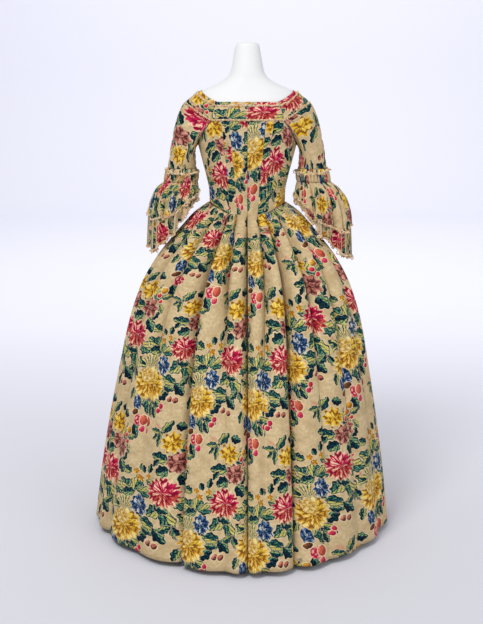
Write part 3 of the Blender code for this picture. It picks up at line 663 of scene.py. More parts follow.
def skirt_top(skirt, threads, laid):
    """Patches of a pleat that carries the bodice's silk above a stepped line and the skirt's below it."""
    inner, outer, up, pace = laid
    run, fall = spans(skirt, 1), spans(skirt[:, 12:13], 0)
    across = inner + (outer - inner) * run / run[:, -1:]
    top = np.stack([across / 1000, np.broadcast_to(up / 1000 - pace * fall, across.shape)], axis=-1)
    patches = []
    first = 0
    for last, row in TOP_CUTS:
        cols = slice(first, last + 1)
        patches += [(skirt[row:, cols], threads[row:, cols]), (skirt[:row + 1, cols], top[:row + 1, cols])]
        first = last
    return patches


def gown_back(side, sign, cloth):
    """Half of the back: two stitched pleats that run on into the skirt, and the side back."""
    patches, tops = [], []
    for number in (0, 1):
        strip, skirt = strip_patch(number), pleat_patch(side, number)
        ease = smooth_step(0.0, 0.02, SKIRT_FALLS)[:, None, None]
        skirt = skirt + (1 - ease) * (strip[-1:] - skirt[:1])
        skirt[0] = strip[-1]
        if number == 0:
            skirt[:, 0, 0] = 0.0
        threads, laid = pleat_threads(side, number, skirt), laid_flat(strip, f"strip_{number}_{side}")
        if number == 0:
            for grid in (skirt, strip):
                grid[:, 0, 0] += SEAM / 2
        if number in TOPS[side]:
            tops += skirt_top(skirt, threads, TOPS[side][number])
        else:
            patches.append((skirt, threads))
        patches.append((strip, laid))
    side_back = soft_creases(panel_patch(40, strip_outer_angle, lambda v: SIDE_PHI), CREASES["side_back"])
    side_back[:, 0] = strip[:, -1]
    patches.append((side_back, laid_flat(side_back, f"side_back_{side}")))
    made = sew(f"gown_back_{side}", patches + tops, cloth, sign < 0)
    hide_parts(f"back_{side}")
    return made


def bodice_front(side, sign, cloth):
    grid = soft_creases(panel_patch(56, lambda v: SIDE_PHI, lambda v: math.pi), CREASES["front"])
    grid[:, -1, 0] = SEAM / 2
    made = sew(f"bodice_front_{side}", [(grid, laid_flat(grid, f"front_{side}"))], cloth, sign < 0)
    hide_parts(f"front_{side}")
    return made


def skirt_width(name, pleats, side, sign, cloth):
    patches = []
    for pleat in pleats:
        grid = pleat_patch(side, pleat)
        if pleat == PLEAT_COUNT - 1:
            grid[:, -1, 0] = SEAM / 2 + 0.006 * SKIRT_FALLS
        grid[0, :, 2] -= 1.5 * SEAM
        patches.append((grid, pleat_threads(side, pleat, grid)))
    made = sew(f"{name}_silk_{side}", patches, cloth, sign < 0)
    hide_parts(f"{name}_{side}")
    return made


# Creases, one by one: row, column, slope, length, width, depth.
CREASES = {
    "side_back": ((0.10, 0.80, 62, 0.16, 0.020, -0.0016), (0.20, 0.92, 55, 0.14, 0.018, -0.0014),
                  (0.88, 0.45, 8, 0.22, 0.018, -0.0010), (0.94, 0.30, -6, 0.25, 0.016, -0.0010),
                  (0.80, 0.75, 14, 0.20, 0.020, -0.0012)),
    "front": ((0.15, 0.10, 118, 0.14, 0.018, -0.0014), (0.90, 0.30, -8, 0.22, 0.018, -0.0010),
              (0.82, 0.65, 6, 0.26, 0.018, -0.0010), (0.30, 0.28, 130, 0.12, 0.020, -0.0012)),
    "sleeve": ((0.30, 0.74, 20, 0.07, 0.030, -0.0030), (0.42, 0.72, 12, 0.08, 0.026, -0.0026),
               (0.55, 0.25, -8, 0.10, 0.030, -0.0022), (0.80, 0.30, 10, 0.12, 0.030, -0.0024),
               (0.88, 0.70, -12, 0.10, 0.026, -0.0022), (0.66, 0.80, 16, 0.09, 0.026, -0.0024),
               (0.20, 0.55, 60, 0.10, 0.020, -0.0020), (0.72, 0.55, 5, 0.10, 0.028, -0.0018)),
}


BAND_LIFT, BAND_BELLY = 0.0010, 0.0004          # how far the neck band lies out, and more in its middle
ROBING_LIFT, ROBING_BELLY = 0.0010, 0.0005      # the same for a robing


def band_part(z):
    """Share of the way up the neck band."""
    return (z - BAND_FOOT[1]) / (BAND_TOP[1] - BAND_FOOT[1])


def band_row(shares, z, out):
    """One level of the neck band, whose shares run from -1 to 1."""
    edge = PHI_BACK_ARM + (float(angle_at(*BAND_TOP)) - PHI_BACK_ARM) * band_part(z)
    row = torso_points(np.abs(shares) * edge, z, out)
    row[:, 0] *= np.sign(shares)
    return row


def neck_band(cloth):
    shares = np.linspace(-1, 1, 61)
    grid = np.array([band_row(shares, z, BAND_LIFT + BAND_BELLY * math.sin(math.pi * band_part(z)))
                     for z in np.linspace(BAND_TOP[1], BAND_FOOT[1] + SEAM, 14)])
    made = sew("neck_band_silk", [(grid, laid_flat(grid, "neck_band"))], cloth)
    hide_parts("neck_band")
    return made


def robing_points(s, share, out):
    phi_a, z_a = robing_edge(s, True)
    phi_b, z_b = robing_edge(s, False)
    return torso_points(phi_a + (phi_b - phi_a) * share, z_a + (z_b - z_a) * share, out)


def robing(side, sign, cloth):
    s = np.linspace(0.0015, 0.9985, 64)
    grid = np.array([robing_points(s, share, ROBING_LIFT + ROBING_BELLY * math.sin(math.pi * share))
                     for share in np.linspace(0, 1, 14)])
    made = sew(f"robing_silk_{side}", [(grid, laid_flat(grid, f"robing_{side}"))], cloth, sign < 0)
    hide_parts(f"robing_{side}")
    return made


def cuff(name, drop):
    return smooth_column(CUFF, CUFF_COLUMNS, name, drop)


def cuff_points(turn, drop, out=0.0):
    """Points round the sleeve's end: turn 0 is the outer side, a quarter is the back."""
    turn, drop, out = broad(turn, drop, out)
    x = cuff("middle_x", drop) + (cuff("across", drop) + out) * np.cos(turn)
    y = cuff("middle_y", drop) + (cuff("depth", drop) + out) * np.sin(turn)
    return np.stack([x, y, SLEEVE_END_Z - drop], axis=-1)


SLEEVE_ROWS = 46
SLEEVE_HALF = 48
CUFF_TURNS = (75, -75, -285)    # degrees round the cuff that meet the armhole's back, front and back again
ARMHOLE_GATHERS, CUFF_GATHERS = 34, 30      # gathers round the sleeve's top, and round its end


def sleeve_grid():
    over = np.linspace(0, 1, SLEEVE_HALF, endpoint=False)
    phi, z = robing_edge(over, False)
    head = torso_points(phi, z, LAP)
    phi = PHI_FRONT_ARM + (PHI_BACK_ARM - PHI_FRONT_ARM) * over
    under = torso_points(phi, armhole_low(phi), LAP)
    start = np.concatenate([head, under, head[:1]])
    places = np.linspace(0, 2, 2 * SLEEVE_HALF + 1)
    turns = np.radians(np.interp(places, (0, 1, 2), CUFF_TURNS))
    end = cuff_points(turns, 0.0)
    up = ((start[:, 2] - UNDERARM_Z) / (RIDGE_ARM_Z - UNDERARM_Z))[:, None]
    # It leaves the armhole outward and down, more so on the shoulder, and meets the cuff nearly upright.
    pull = 0.035 + 0.085 * up
    lead = np.stack(broad(0.80, -0.35 * start[:, 1] / 0.09, -0.45), axis=-1) * pull
    land = np.array([[0.06, 0.0, -1.0]]) * (0.045 + 0.05 * up)
    s = np.linspace(0, 1, SLEEVE_ROWS)[:, None, None]
    grid = ((2 * s ** 3 - 3 * s ** 2 + 1) * start + (s ** 3 - 2 * s ** 2 + s) * lead
            + (3 * s ** 2 - 2 * s ** 3) * end + (s ** 3 - s ** 2) * land)
    return tube_facing_out(grid, turns)


def sleeve(side, sign, cloth):
    grid, turns = sleeve_grid()
    down = np.linspace(0, 1, SLEEVE_ROWS)[:, None]
    pucker = 0.0011 * np.exp(-(down / 0.07) ** 2) * np.sin(ARMHOLE_GATHERS * turns)[None]
    around = CUFF_GATHERS * turns + 0.8 * np.sin(3 * turns)
    tight = 0.0012 * np.exp(-((1 - down) / 0.05) ** 2) * np.sin(around)[None]
    shape = soft_creases(grid, CREASES["sleeve"]) + outward(grid) * (pucker + tight)[..., None]
    shape[:, -1] = shape[:, 0]
    threads = laid_round(grid, turns, sign, f"sleeve_{side}")
    made = sew(f"sleeve_silk_{side}", [(shape, threads)], cloth, sign < 0)
    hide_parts(f"sleeve_{side}")
    return made


HEADING_ROWS = 12
HEADING_COLUMNS = 288


def braid_drop(turns):
    """How far below the sleeve's edge the braid is sewn: least on the outer side, most behind."""
    behind = np.clip(np.sin(turns), 0, 1) ** 2
    return 0.0014 + 0.0040 * (1 - np.cos(turns)) + 0.0090 * behind + 0.0012 * np.sin(7 * turns)


def heading(side, sign, cloth):
    turns = np.linspace(0, 2 * math.pi, HEADING_COLUMNS + 1)
    around = CUFF_GATHERS * turns + 1.4 * np.sin(5 * turns) + 0.9 * np.sin(11 * turns)
    lines = 0.85 * np.sin(around) + 0.35 * np.sin(2 * around + 1.0)
    rows = []
    for share in np.linspace(0, 1, HEADING_ROWS):
        drop = SEAM + (HEADING_DROP - 2 * SEAM) * share
        swell = math.sin(math.pi * min(max(share, 0.02), 0.98)) ** 0.6
        sway = 0.10 * math.sin(2.5 * share)
        ripple = (0.0014 + 0.0030 * swell) * np.interp((turns + sway * 0.3) % (2 * math.pi), turns, lines)
        ripple = ripple * smooth_step(0.0, 0.006, drop - braid_drop(turns))
        rows.append(cuff_points(turns, drop, 0.0012 + 0.0024 * swell + ripple))
    grid = np.array(rows)
    grid[:, -1] = grid[:, 0]
    grid, turns = tube_facing_out(grid, turns)
    threads = laid_round(grid, turns, sign, f"heading_{side}")
    made = sew(f"heading_silk_{side}", [(grid, threads)], cloth, sign < 0)
    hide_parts(f"heading_{side}")
    return made


def tier_lengths(name, turns):
    """Length of a tier at each turn, eased between the eight directions."""
    lengths = np.array(TIERS[name])
    place = (turns % (2 * math.pi)) / (math.pi / 4)
    first = place.astype(int) % 8
    share = place - place.astype(int)
    share = share * share * (3 - 2 * share)
    return lengths[first] + (lengths[(first + 1) % 8] - lengths[first]) * share


TIER_ROWS = 22
TIER_COLUMNS = 504
WAVE_OUT = 0.0074           # how far a tier's waves swing out and in
FOLD_IN = 0.0150            # how far the narrow folds between them lie in
GATHERS = 0.0028, 0.0022    # height of the fine gathers, at the heading and below
SCALLOP = 0.005             # how much shorter the edge is between its scallops
TIER_GAP = 0.0018, 0.0034   # how far the lower tier lies in, at its top and more below


def flounce_grid(tier, side):
    turns = np.linspace(0, 2 * math.pi, TIER_COLUMNS + 1)
    phase = TIER_WAVES * turns + 0.7 * np.sin(2 * turns)
    scallop = np.abs(np.sin(phase / 2))
    length = tier_lengths(f"{tier}_{side}", turns) - SCALLOP * scallop ** 2
    fine = np.sin(4 * phase + 1.1 * np.sin(3 * turns)) * 0.6 + np.sin(3 * phase + 2.0) * 0.4
    wide_folds = np.exp(-(np.sin(phase / 2 + 2.2) / 0.20) ** 2)
    folds = wide_folds + 0.5 * np.exp(-(np.sin(phase / 2 + 0.9) / 0.16) ** 2)
    rows = []
    for share in np.linspace(0, 1, TIER_ROWS) ** 1.15:
        drop = HEADING_DROP + SEAM + length * share
        grow = np.clip((drop - HEADING_DROP) / 0.09, 0, 1)
        near = np.exp(-((drop - HEADING_DROP) / 0.030) ** 2)
        wave = WAVE_OUT * grow * np.sin(phase) + 0.0014 * grow * np.sin(2 * phase + 1.3)
        wave = wave - FOLD_IN * np.clip(grow * 1.8, 0, 1) * folds
        gathers = GATHERS[0] * near * fine + GATHERS[1] * (1 - near) * grow * fine
        points = cuff_points(turns, drop, wave + gathers)
        ease = np.clip(length * share / 0.05, 0, 1)
        points[:, 0] = CUFF[0][1] + (points[:, 0] - CUFF[0][1]) * (1 + (SPREAD[side] - 1) * ease)
        rows.append(points)
    grid = np.array(rows)
    grid[:, -1] = grid[:, 0]
    grid, turns = tube_facing_out(grid, turns)
    if tier == "lower":
        shares = np.linspace(0, 1, TIER_ROWS)[:, None]
        apart = TIER_GAP[0] + TIER_GAP[1] * smooth_step(0.02, 0.25, shares)
        grid = grid - outward(grid) * apart[..., None]
        grid[:, -1] = grid[:, 0]
    return grid, turns


def flounce(tier, side, sign, cloth):
    name = f"{tier}_{side}"
    grid, turns = flounce_grid(tier, side)
    threads = laid_round(grid, turns, sign, f"flounce_{name}")
    made = sew(f"flounce_silk_{name}", [(grid, threads)], cloth, sign < 0)
    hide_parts(f"flounce_{name}")
    return made, grid


# Node trees

class Bench:
    """Places nodes in one tree and joins them."""

    def __init__(self, tree):
        self.tree = tree

    def put(self, kind, out=0, feeds=(), **settings):
        made = self.tree.nodes.new(kind)
        for key, value in settings.items():
            setattr(made, key, value)
        for socket, value in feeds:
            self.feed(made.inputs[socket], value)
        return made.outputs[out]

    def feed(self, socket, value):
        if isinstance(value, bpy.types.NodeSocket):
            self.tree.links.new(value, socket)
        else:
            socket.default_value = value

    def math(self, operation, *values):
        return self.put("ShaderNodeMath", feeds=enumerate(values), operation=operation)

    def times(self, one, two, plus=None):
        if plus is None:
            return self.math("MULTIPLY", one, two)
        return self.math("MULTIPLY_ADD", one, two, plus)

    def wave(self, value, rate):
        return self.math("SINE", self.times(value, rate))

    def vector(self, operation, *values, out=0):
        return self.put("ShaderNodeVectorMath", out=out, feeds=enumerate(values), operation=operation)

    def split(self, vector):
        return self.put("ShaderNodeSeparateXYZ", feeds=((0, vector),)).node.outputs[:]

    def pair(self, x, y):
        return self.put("ShaderNodeCombineXYZ", feeds=((0, x), (1, y)))

    def blend(self, share, first, second):
        return self.put("ShaderNodeMix", out=2, feeds=((0, share), (6, first), (7, second)), data_type="RGBA")

    def span(self, value, low, high, to_low=0.0, to_high=1.0):
        feeds = enumerate((value, low, high, to_low, to_high))
        return self.put("ShaderNodeMapRange", feeds=feeds, clamp=True)

    def noise(self, where, scale, detail=2.0, out="Fac"):
        feeds = (("Vector", where), ("Scale", scale), ("Detail", detail))
        return self.put("ShaderNodeTexNoise", out=out, feeds=feeds)

    def ramp(self, value, *stops):
        made = self.tree.nodes.new("ShaderNodeValToRGB")
        bar = made.color_ramp.elements
        while len(bar) < len(stops):
            bar.new(0.5)
        for stop, (place, colour) in zip(bar, stops):
            stop.position = place
            stop.color = colour
        self.tree.links.new(value, made.inputs[0])
        return made.outputs[0]


def tree_of(kind, name, inputs, outputs):
    """A node tree with named inputs and outputs, a bench to build it on, and the sockets at its two ends."""
    tree = bpy.data.node_groups.new(name, kind)
    for label, socket_kind, value in inputs:
        socket = tree.interface.new_socket(label, in_out="INPUT", socket_type="NodeSocket" + socket_kind)
        if value is not None:
            socket.default_value = value
    for label, socket_kind in outputs:
        tree.interface.new_socket(label, in_out="OUTPUT", socket_type="NodeSocket" + socket_kind)
    given, result = (tree.nodes.new("NodeGroup" + end) for end in ("Input", "Output"))
    return tree, Bench(tree), given.outputs, result.inputs


# Trimmings

# What the looped trimmings are like, and how restless their loops hang.
TRIM_SIZES = ("Spacing", "Loop Size", "Stray Size", "Stray Share", "Unrest")
TRIMS = {
    "fringe": (0.0013, 0.0056, 1.9, 0.08, 1.1),
    "sleeve_braid": (0.0012, 0.0054, 1.9, 0.07, 1.3),
    "braid": (0.0012, 0.0044, 1.7, 0.05, 1.3),
}
TRIM_INPUTS = (("Line", "Geometry", None), ("Spacing", "Float", 0.002), ("Loop Size", "Float", 0.004),
               ("Stray Size", "Float", 2.0), ("Stray Share", "Float", 0.1), ("Unrest", "Float", 0.5),
               ("Seed", "Int", 1), ("Loop", "Object", None), ("Thread", "Material", None))


# How far out the braids are sewn.
CUFF_BRAID_OUT, ROBING_BRAID_OUT, BAND_BRAID_OUT = 0.0044, 0.0024, 0.0026


def loop_of_thread():
    """One small loop of silk thread, hanging along its own Z axis."""
    count, sides, thick = 7, 3, 0.16
    points, faces = [], []
    for turn in np.linspace(0.0, 2 * math.pi, count, endpoint=False):
        middle = np.array([0.42 * math.sin(turn), 0.0, 0.5 - 0.5 * math.cos(turn)])
        out = np.array([math.sin(turn), 0.0, -math.cos(turn)])
        for k in range(sides):
            angle = 2 * math.pi * k / sides
            points.append(middle + thick * (math.cos(angle) * out + math.sin(angle) * np.array([0, 1.0, 0])))
    for i in range(count):
        n = (i + 1) % count
        for k in range(sides):
            q = (k + 1) % sides
            faces.append((i * sides + k, i * sides + q, n * sides + q, n * sides + k))
    return piece_of(mesh_of("thread_loop", points, faces), "thread_loop", ())


def fringe_tree():
    """Small loops along a line, all hanging its way, with a longer one here and there."""
    tree, bench, given, result = tree_of("GeometryNodeTree", "looped_fringe", TRIM_INPUTS,
                                         (("Fringe", "Geometry"),))
    curve = bench.put("GeometryNodeMeshToCurve", feeds=(("Mesh", given["Line"]),))
    evenly = bench.put("GeometryNodeResampleCurve", feeds=(("Curve", curve), ("Length", given["Spacing"])),
                       mode="LENGTH")
    down = bench.put("GeometryNodeInputNamedAttribute", out="Attribute", feeds=(("Name", "hang"),),
                     data_type="FLOAT_VECTOR")
    tangent = bench.put("GeometryNodeInputTangent")
    hang = bench.put("FunctionNodeAlignRotationToVector", feeds=(("Vector", down),), axis="Z")
    run = bench.put("FunctionNodeAlignRotationToVector", feeds=(("Rotation", hang), ("Vector", tangent)),
                    axis="X", pivot_axis="Z")
    seed = ("Seed", given["Seed"])
    stray = bench.put("FunctionNodeRandomValue", out=3, feeds=(("Probability", given["Stray Share"]), seed),
                      data_type="BOOLEAN")
    size = bench.put("GeometryNodeSwitch", out="Output", input_type="FLOAT",
                     feeds=(("Switch", stray), ("False", 1.0), ("True", given["Stray Size"])))
    vary = bench.put("FunctionNodeRandomValue", out=1, feeds=((2, 0.72), (3, 1.25), seed), data_type="FLOAT")
    real = bench.times(bench.times(size, vary), given["Loop Size"])
    low = bench.times(given["Unrest"], -1.0)
    sway = bench.put("FunctionNodeRandomValue", feeds=((0, low), (1, given["Unrest"]), seed),
                     data_type="FLOAT_VECTOR")
    turn = bench.put("FunctionNodeEulerToRotation", feeds=(("Euler", sway),))
    tilt = bench.put("FunctionNodeRotateRotation", feeds=(("Rotation", run), ("Rotate By", turn)),
                     rotation_space="LOCAL")
    loop = bench.put("GeometryNodeObjectInfo", out="Geometry", feeds=(("Object", given["Loop"]),))
    loops = bench.put("GeometryNodeInstanceOnPoints",
                      feeds=(("Points", evenly), ("Instance", loop), ("Rotation", tilt), ("Scale", real)))
    loops = bench.put("GeometryNodeRealizeInstances", feeds=(("Geometry", loops),))
    loops = bench.put("GeometryNodeSetShadeSmooth", feeds=(("Geometry", loops),))
    loops = bench.put("GeometryNodeSetMaterial", feeds=(("Geometry", loops), ("Material", given["Thread"])))
    bench.feed(result["Fringe"], loops)
    return tree


def trimming(name, lines, kind, seed, tools):
    """A looped trimming along lines, each a row of points, a row of directions and whether it is a ring."""
    tree, loop, thread = tools
    points, edges, ways = [], [], []
    for line, way, ring in lines:
        first = len(points)
        points += [tuple(p) for p in line]
        ways += [tuple(w) for w in way]
        edges += [(first + i, first + i + 1) for i in range(len(line) - 1)]
        if ring:
            edges.append((first + len(line) - 1, first))
    mesh = bpy.data.meshes.new(name)
    mesh.from_pydata(points, edges, [])
    mesh.attributes.new("hang", "FLOAT_VECTOR", "POINT").data.foreach_set("vector", np.array(ways).ravel())
    bare_line = put_in_scene(name + "_line", mesh)
    loops = bare_line.modifiers.new("loops", "NODES")
    loops.node_group = tree
    values = dict(zip(TRIM_SIZES, TRIMS[kind])) | {"Seed": seed, "Loop": loop, "Thread": thread}
    for item in tree.interface.items_tree:
        if item.name in values:
            loops[item.identifier] = values[item.name]
    scene_state = bpy.context.evaluated_depsgraph_get()
    made = bpy.data.meshes.new_from_object(bare_line.evaluated_get(scene_state))
    bpy.data.objects.remove(bare_line, do_unlink=True)
    made.name = name
    trim = put_in_scene(name, made)
    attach(trim, "root")
    return trim


def edge_line(grid, sign):
    """A tier's edge at the middle of its wall, and the way in which its fringe hangs, as a ring."""
    down = grid[-1] - grid[-2]
    down = down / np.linalg.norm(down, axis=1, keepdims=True)
    edge = grid[-1] - outward(grid)[-1] * SILK_WALL * 0.5 - down * 0.0004
    return mirrored(edge[:-1], sign), mirrored(down[:-1], sign), True


def flounce_fringe(tier, side, sign, grid, seed, tools):
    made = trimming(f"fringe_loops_{tier}_{side}", [edge_line(grid, sign)], "fringe", seed, tools)
    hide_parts(f"fringe_{tier}_{side}")


def sleeve_braid(side, sign, seed, tools):
    turns = np.linspace(0, 2 * math.pi, 200, endpoint=False)
    ring = cuff_points(turns, braid_drop(turns), CUFF_BRAID_OUT)
    way = np.stack([np.cos(turns) * 0.3, np.sin(turns) * 0.3, np.full(len(turns), -0.9)], axis=-1)
    line = (mirrored(ring, sign), mirrored(way, sign), True)
    trimming(f"sleeve_braid_{side}", [line], "sleeve_braid", seed, tools)


def robing_braid(side, sign, seed, tools):
    """Braid near the neck edge of a robing and along its arm edge."""
    lines = []
    s = np.linspace(0.0, 1.0, 90)
    for share in (0.17, 0.98):
        points = robing_points(s, share, ROBING_BRAID_OUT)
        inner = robing_points(s, share - 0.08, ROBING_BRAID_OUT)
        way = (points - inner) / np.linalg.norm(points - inner, axis=1, keepdims=True)
        lines.append((mirrored(points, sign), mirrored(way, sign), False))
    trimming(f"robing_braid_{side}", lines, "braid", seed, tools)


def neck_braid(seed, tools):
    """Braid near the top of the neck band and along its foot."""
    shares = np.linspace(-1, 1, 120)
    way = np.tile([0.0, 0.15, -1.0], (len(shares), 1))
    lines = [(band_row(shares, z, BAND_BRAID_OUT), way, False)
             for z in (BAND_TOP[1] - 0.0095, BAND_FOOT[1] + 0.0030)]
    trimming("neck_band_braid", lines, "braid", seed, tools)


# Dress form and stand

def turned_solid(name, profile, count, finish):
    points, faces = [], []
    for radius, z in profile:
        points += [(radius * math.cos(2 * math.pi * k / count), radius * math.sin(2 * math.pi * k / count), z)
                   for k in range(count)]
    for i in range(len(profile) - 1):
        for j in range(count):
            n = (j + 1) % count
            faces.append((i * count + j, i * count + n, (i + 1) * count + n, (i + 1) * count + j))
    faces.append(tuple(reversed(range(count))))
    faces.append(tuple((len(profile) - 1) * count + j for j in range(count)))
    made = piece_of(mesh_of(name, points, faces), name, (finish,))
    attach(made, "root")
    return made


def stand(paint):
    """A round foot plate with a rounded rim, and the tube that carries the form."""
    rim = ((0.190, 0.0), (0.190, 0.0080), (0.1894, 0.0092), (0.1880, 0.0100))
    base = turned_solid("stand_foot_plate", rim, 96, paint)
    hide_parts("stand_base")
    pole = turned_solid("stand_tube", ((0.016, 0.0103), (0.016, FORM_FOOT_Z - 0.0003)), 48, paint)
    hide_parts("stand_pole")


def dress_form(finish):
    """Smooth torso and neck, closed above and below."""
    heights = np.concatenate([FOOT_ROUND[0], np.linspace(0.905, 1.465, 76), NECK_ROUND[0][1:]])
    inset = np.interp(heights, *FOOT_ROUND) + np.interp(heights, *NECK_ROUND)
    count = 96
    phi = 2 * math.pi * np.arange(count) / count
    folded = np.where(phi > math.pi, 2 * math.pi - phi, phi)
    rows = []
    for z, trim in zip(heights, inset):
        gap = straight_column(FORM_GAP, FORM_GAP_COLUMNS, "gap", z) + trim
        row = torso_points(folded, z, -gap)
        row[:, 0] *= np.where(phi > math.pi, -1, 1)
        rows.append(row)
    grid = np.array(rows)
    faces = []
    for i in range(len(heights) - 1):
        for j in range(count):
            n = (j + 1) % count
            faces.append((i * count + j, (i + 1) * count + j, (i + 1) * count + n, i * count + n))
    points = list(grid.reshape(-1, 3))
    last = (len(heights) - 1) * count
    foot, cap = len(points), len(points) + 1
    points += [np.array([0.0, grid[0][:, 1].mean(), heights[0]]),
               np.array([0.0, grid[-1][:, 1].mean(), FORM_TOP_Z])]
    for j in range(count):
        n = (j + 1) % count
        faces.append((foot, j, n))
        faces.append((cap, last + n, last + j))
    made = piece_of(mesh_of("dress_form", points, faces), "dress_form", (finish,))
    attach(made, "root")
    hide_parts("form_body")
    return made


# Finishes

def shown(red, green, blue):
    """A colour given as it looks on a screen, as the light it holds."""
    light = (((c / 255 + 0.055) / 1.055) ** 2.4 if c > 10 else c / 255 / 12.92 for c in (red, green, blue))
    return (*light, 1.0)


NAVY, TEAL, GREEN = shown(4, 16, 34), shown(14, 64, 70), shown(88, 142, 108)
LEAF_LIGHT, LEAF_PALE = shown(198, 180, 88), shown(226, 204, 138)
HALO = shown(232, 208, 166)
MOTIF_INPUTS = (("Threads", "Vector", None), ("Place", "Vector", None), ("Turn", "Vector", None),
                ("Size", "Vector", (0.02, 0.02, 1.0)), ("Cloth", "Color", None), ("Brush", "Float", 0.5))
TONE_INPUTS = (("Deep", "Color", None), ("Main", "Color", None), ("Bright", "Color", None))
PETAL_INPUTS = (("Petals", "Float", 12.0), ("Rings", "Float", 2.5), ("Ragged", "Float", 0.1))
LOW_INPUTS = (("Low", "Color", None), ("Low Share", "Float", 0.0))


def motif_group(name, extra, motif):
    """A group that lays one motif on the cloth, with its place as -1 to 1 over its own length and width."""
    tree, bench, given, result = tree_of("ShaderNodeTree", name, MOTIF_INPUTS + extra, (("Cloth", "Color"),))
    off = bench.vector("SUBTRACT", given["Threads"], given["Place"])
    half = (REPEAT[0] / 2, REPEAT[1] / 2, 1.0)
    near = bench.vector("WRAP", off, half, tuple(-h for h in half))
    feeds = (("Vector", near), ("Rotation", given["Turn"]), ("Scale", given["Size"]))
    place = bench.put("ShaderNodeMapping", feeds=feeds, vector_type="TEXTURE")
    bench.feed(result[0], motif(bench, given, place))
    return tree


def leaf(bench, given, place):
    """A woven leaf: navy veins and shade, teal and green body, yellow light, on a cream halo."""
    x, y, _ = bench.split(place)
    side = bench.math("ABSOLUTE", y)
    belly = bench.times(x, bench.times(x, -1.0), plus=1.0)
    edge = bench.times(bench.wave(x, 9.5), 0.13, plus=belly)
    inside = bench.math("SUBTRACT", edge, side)
    slant = bench.times(side, -1.25, plus=x)
    veins = bench.span(bench.wave(slant, 10.5), 0.50, 0.92, 1.0, 0.42)
    tone = bench.math("ADD", bench.span(y, -0.24, 0.30, -0.15, 0.24), given["Light"])
    tone = bench.math("ADD", tone, bench.times(given["Brush"], 1.2, plus=-0.60))
    rim = bench.span(bench.math("MINIMUM", inside, bench.times(side, 2.2)), 0.03, 0.24, 0.26, 1.0)
    colour = bench.ramp(bench.times(tone, bench.times(rim, veins)),
                        (0.0, NAVY), (0.18, NAVY), (0.25, TEAL), (0.38, TEAL), (0.48, GREEN), (0.58, GREEN),
                        (0.68, LEAF_LIGHT), (0.88, LEAF_LIGHT), (0.97, LEAF_PALE))
    cloth = bench.blend(bench.span(inside, -0.16, -0.06, 0.0, 0.6), given["Cloth"], HALO)
    return bench.blend(bench.span(inside, -0.03, 0.05), cloth, colour)


def flower(bench, given, place):
    """A woven flower: petals in rings round its heart, in three tones and a fourth for its lower half."""
    x, y, _ = bench.split(place)
    radius = bench.vector("LENGTH", place, out="Value")
    turn = bench.math("ARCTAN2", x, bench.times(y, -1.0))
    even = bench.math("SUBTRACT", 1.0, given["Ragged"])
    edge = bench.times(bench.wave(turn, given["Petals"]), given["Ragged"], plus=even)
    inside = bench.math("SUBTRACT", edge, radius)
    round_by = bench.times(turn, bench.times(given["Petals"], 0.16))
    petal = bench.pair(round_by, bench.times(radius, given["Rings"]))
    feeds = (("Vector", petal), ("Scale", 1.0))
    line = bench.put("ShaderNodeTexVoronoi", out="Distance", feeds=feeds, voronoi_dimensions="2D",
                     feature="DISTANCE_TO_EDGE")
    streak = bench.noise(bench.pair(bench.times(turn, 5.5), radius), 2.2)
    heart = bench.put("ShaderNodeTexVoronoi", out="Position", feeds=feeds, voronoi_dimensions="2D",
                      feature="F1")
    tip = bench.vector("DOT_PRODUCT", bench.vector("SUBTRACT", petal, heart), (0.0, 1.0, 0.0), out="Value")
    tone = bench.times(line, 1.0, plus=bench.times(given["Brush"], 0.7, plus=-0.62))
    tone = bench.times(tip, 0.75, plus=tone)
    tone = bench.times(streak, 0.9, plus=tone)
    low = bench.times(bench.span(y, 0.15, -0.15), given["Low Share"])
    main = bench.blend(low, given["Main"], given["Low"])
    colour = bench.blend(bench.span(tone, 0.22, 0.36), given["Deep"], main)
    colour = bench.blend(bench.span(tone, 0.57, 0.69), colour, given["Bright"])
    cloth = bench.blend(bench.span(inside, -0.09, -0.02, 0.0, 0.6), given["Cloth"], HALO)
    return bench.blend(bench.span(inside, -0.02, 0.04), cloth, colour)


def berry(bench, given, place):
    """A round bud or berry with a dark rim and a light spot."""
    inside = bench.math("SUBTRACT", 1.0, bench.vector("LENGTH", place, out="Value"))
    lit = bench.vector("DOT_PRODUCT", place, (-0.55, 0.60, 0.0), out="Value")
    tone = bench.times(given["Brush"], 0.8, plus=bench.times(lit, 0.55, plus=-0.08))
    body = bench.span(bench.math("MINIMUM", tone, inside), 0.10, 0.34)
    colour = bench.blend(body, given["Deep"], given["Main"])
    colour = bench.blend(bench.span(tone, 0.52, 0.66), colour, given["Bright"])
    cloth = bench.blend(bench.span(inside, -0.22, -0.08), given["Cloth"], HALO)
    return bench.blend(bench.span(inside, -0.03, 0.08), cloth, colour)


def grass(bench, given, place):
    """A fan of narrow blades that rises from one root."""
    x, y, _ = bench.split(place)
    radius = bench.vector("LENGTH", place, out="Value")
    turn = bench.math("ARCTAN2", x, bench.math("MAXIMUM", y, 0.001))
    bend = bench.times(bench.times(turn, radius), -0.35)
    blades = bench.wave(bench.math("ADD", turn, bend), 17.0)
    reach = bench.times(blades, 0.17, plus=0.83)
    inside = bench.math("MINIMUM", bench.math("SUBTRACT", reach, radius), bench.math("ADD", y, 0.05))
    cover = bench.math("MINIMUM", bench.span(inside, 0.0, 0.06), bench.span(blades, -0.50, -0.20))
    colour = bench.ramp(bench.times(blades, 0.45, plus=given["Brush"]),
                        (0.0, NAVY), (0.56, NAVY), (0.66, TEAL), (0.76, GREEN), (0.88, LEAF_LIGHT),
                        (1.0, LEAF_PALE))
    return bench.blend(cover, given["Cloth"], colour)


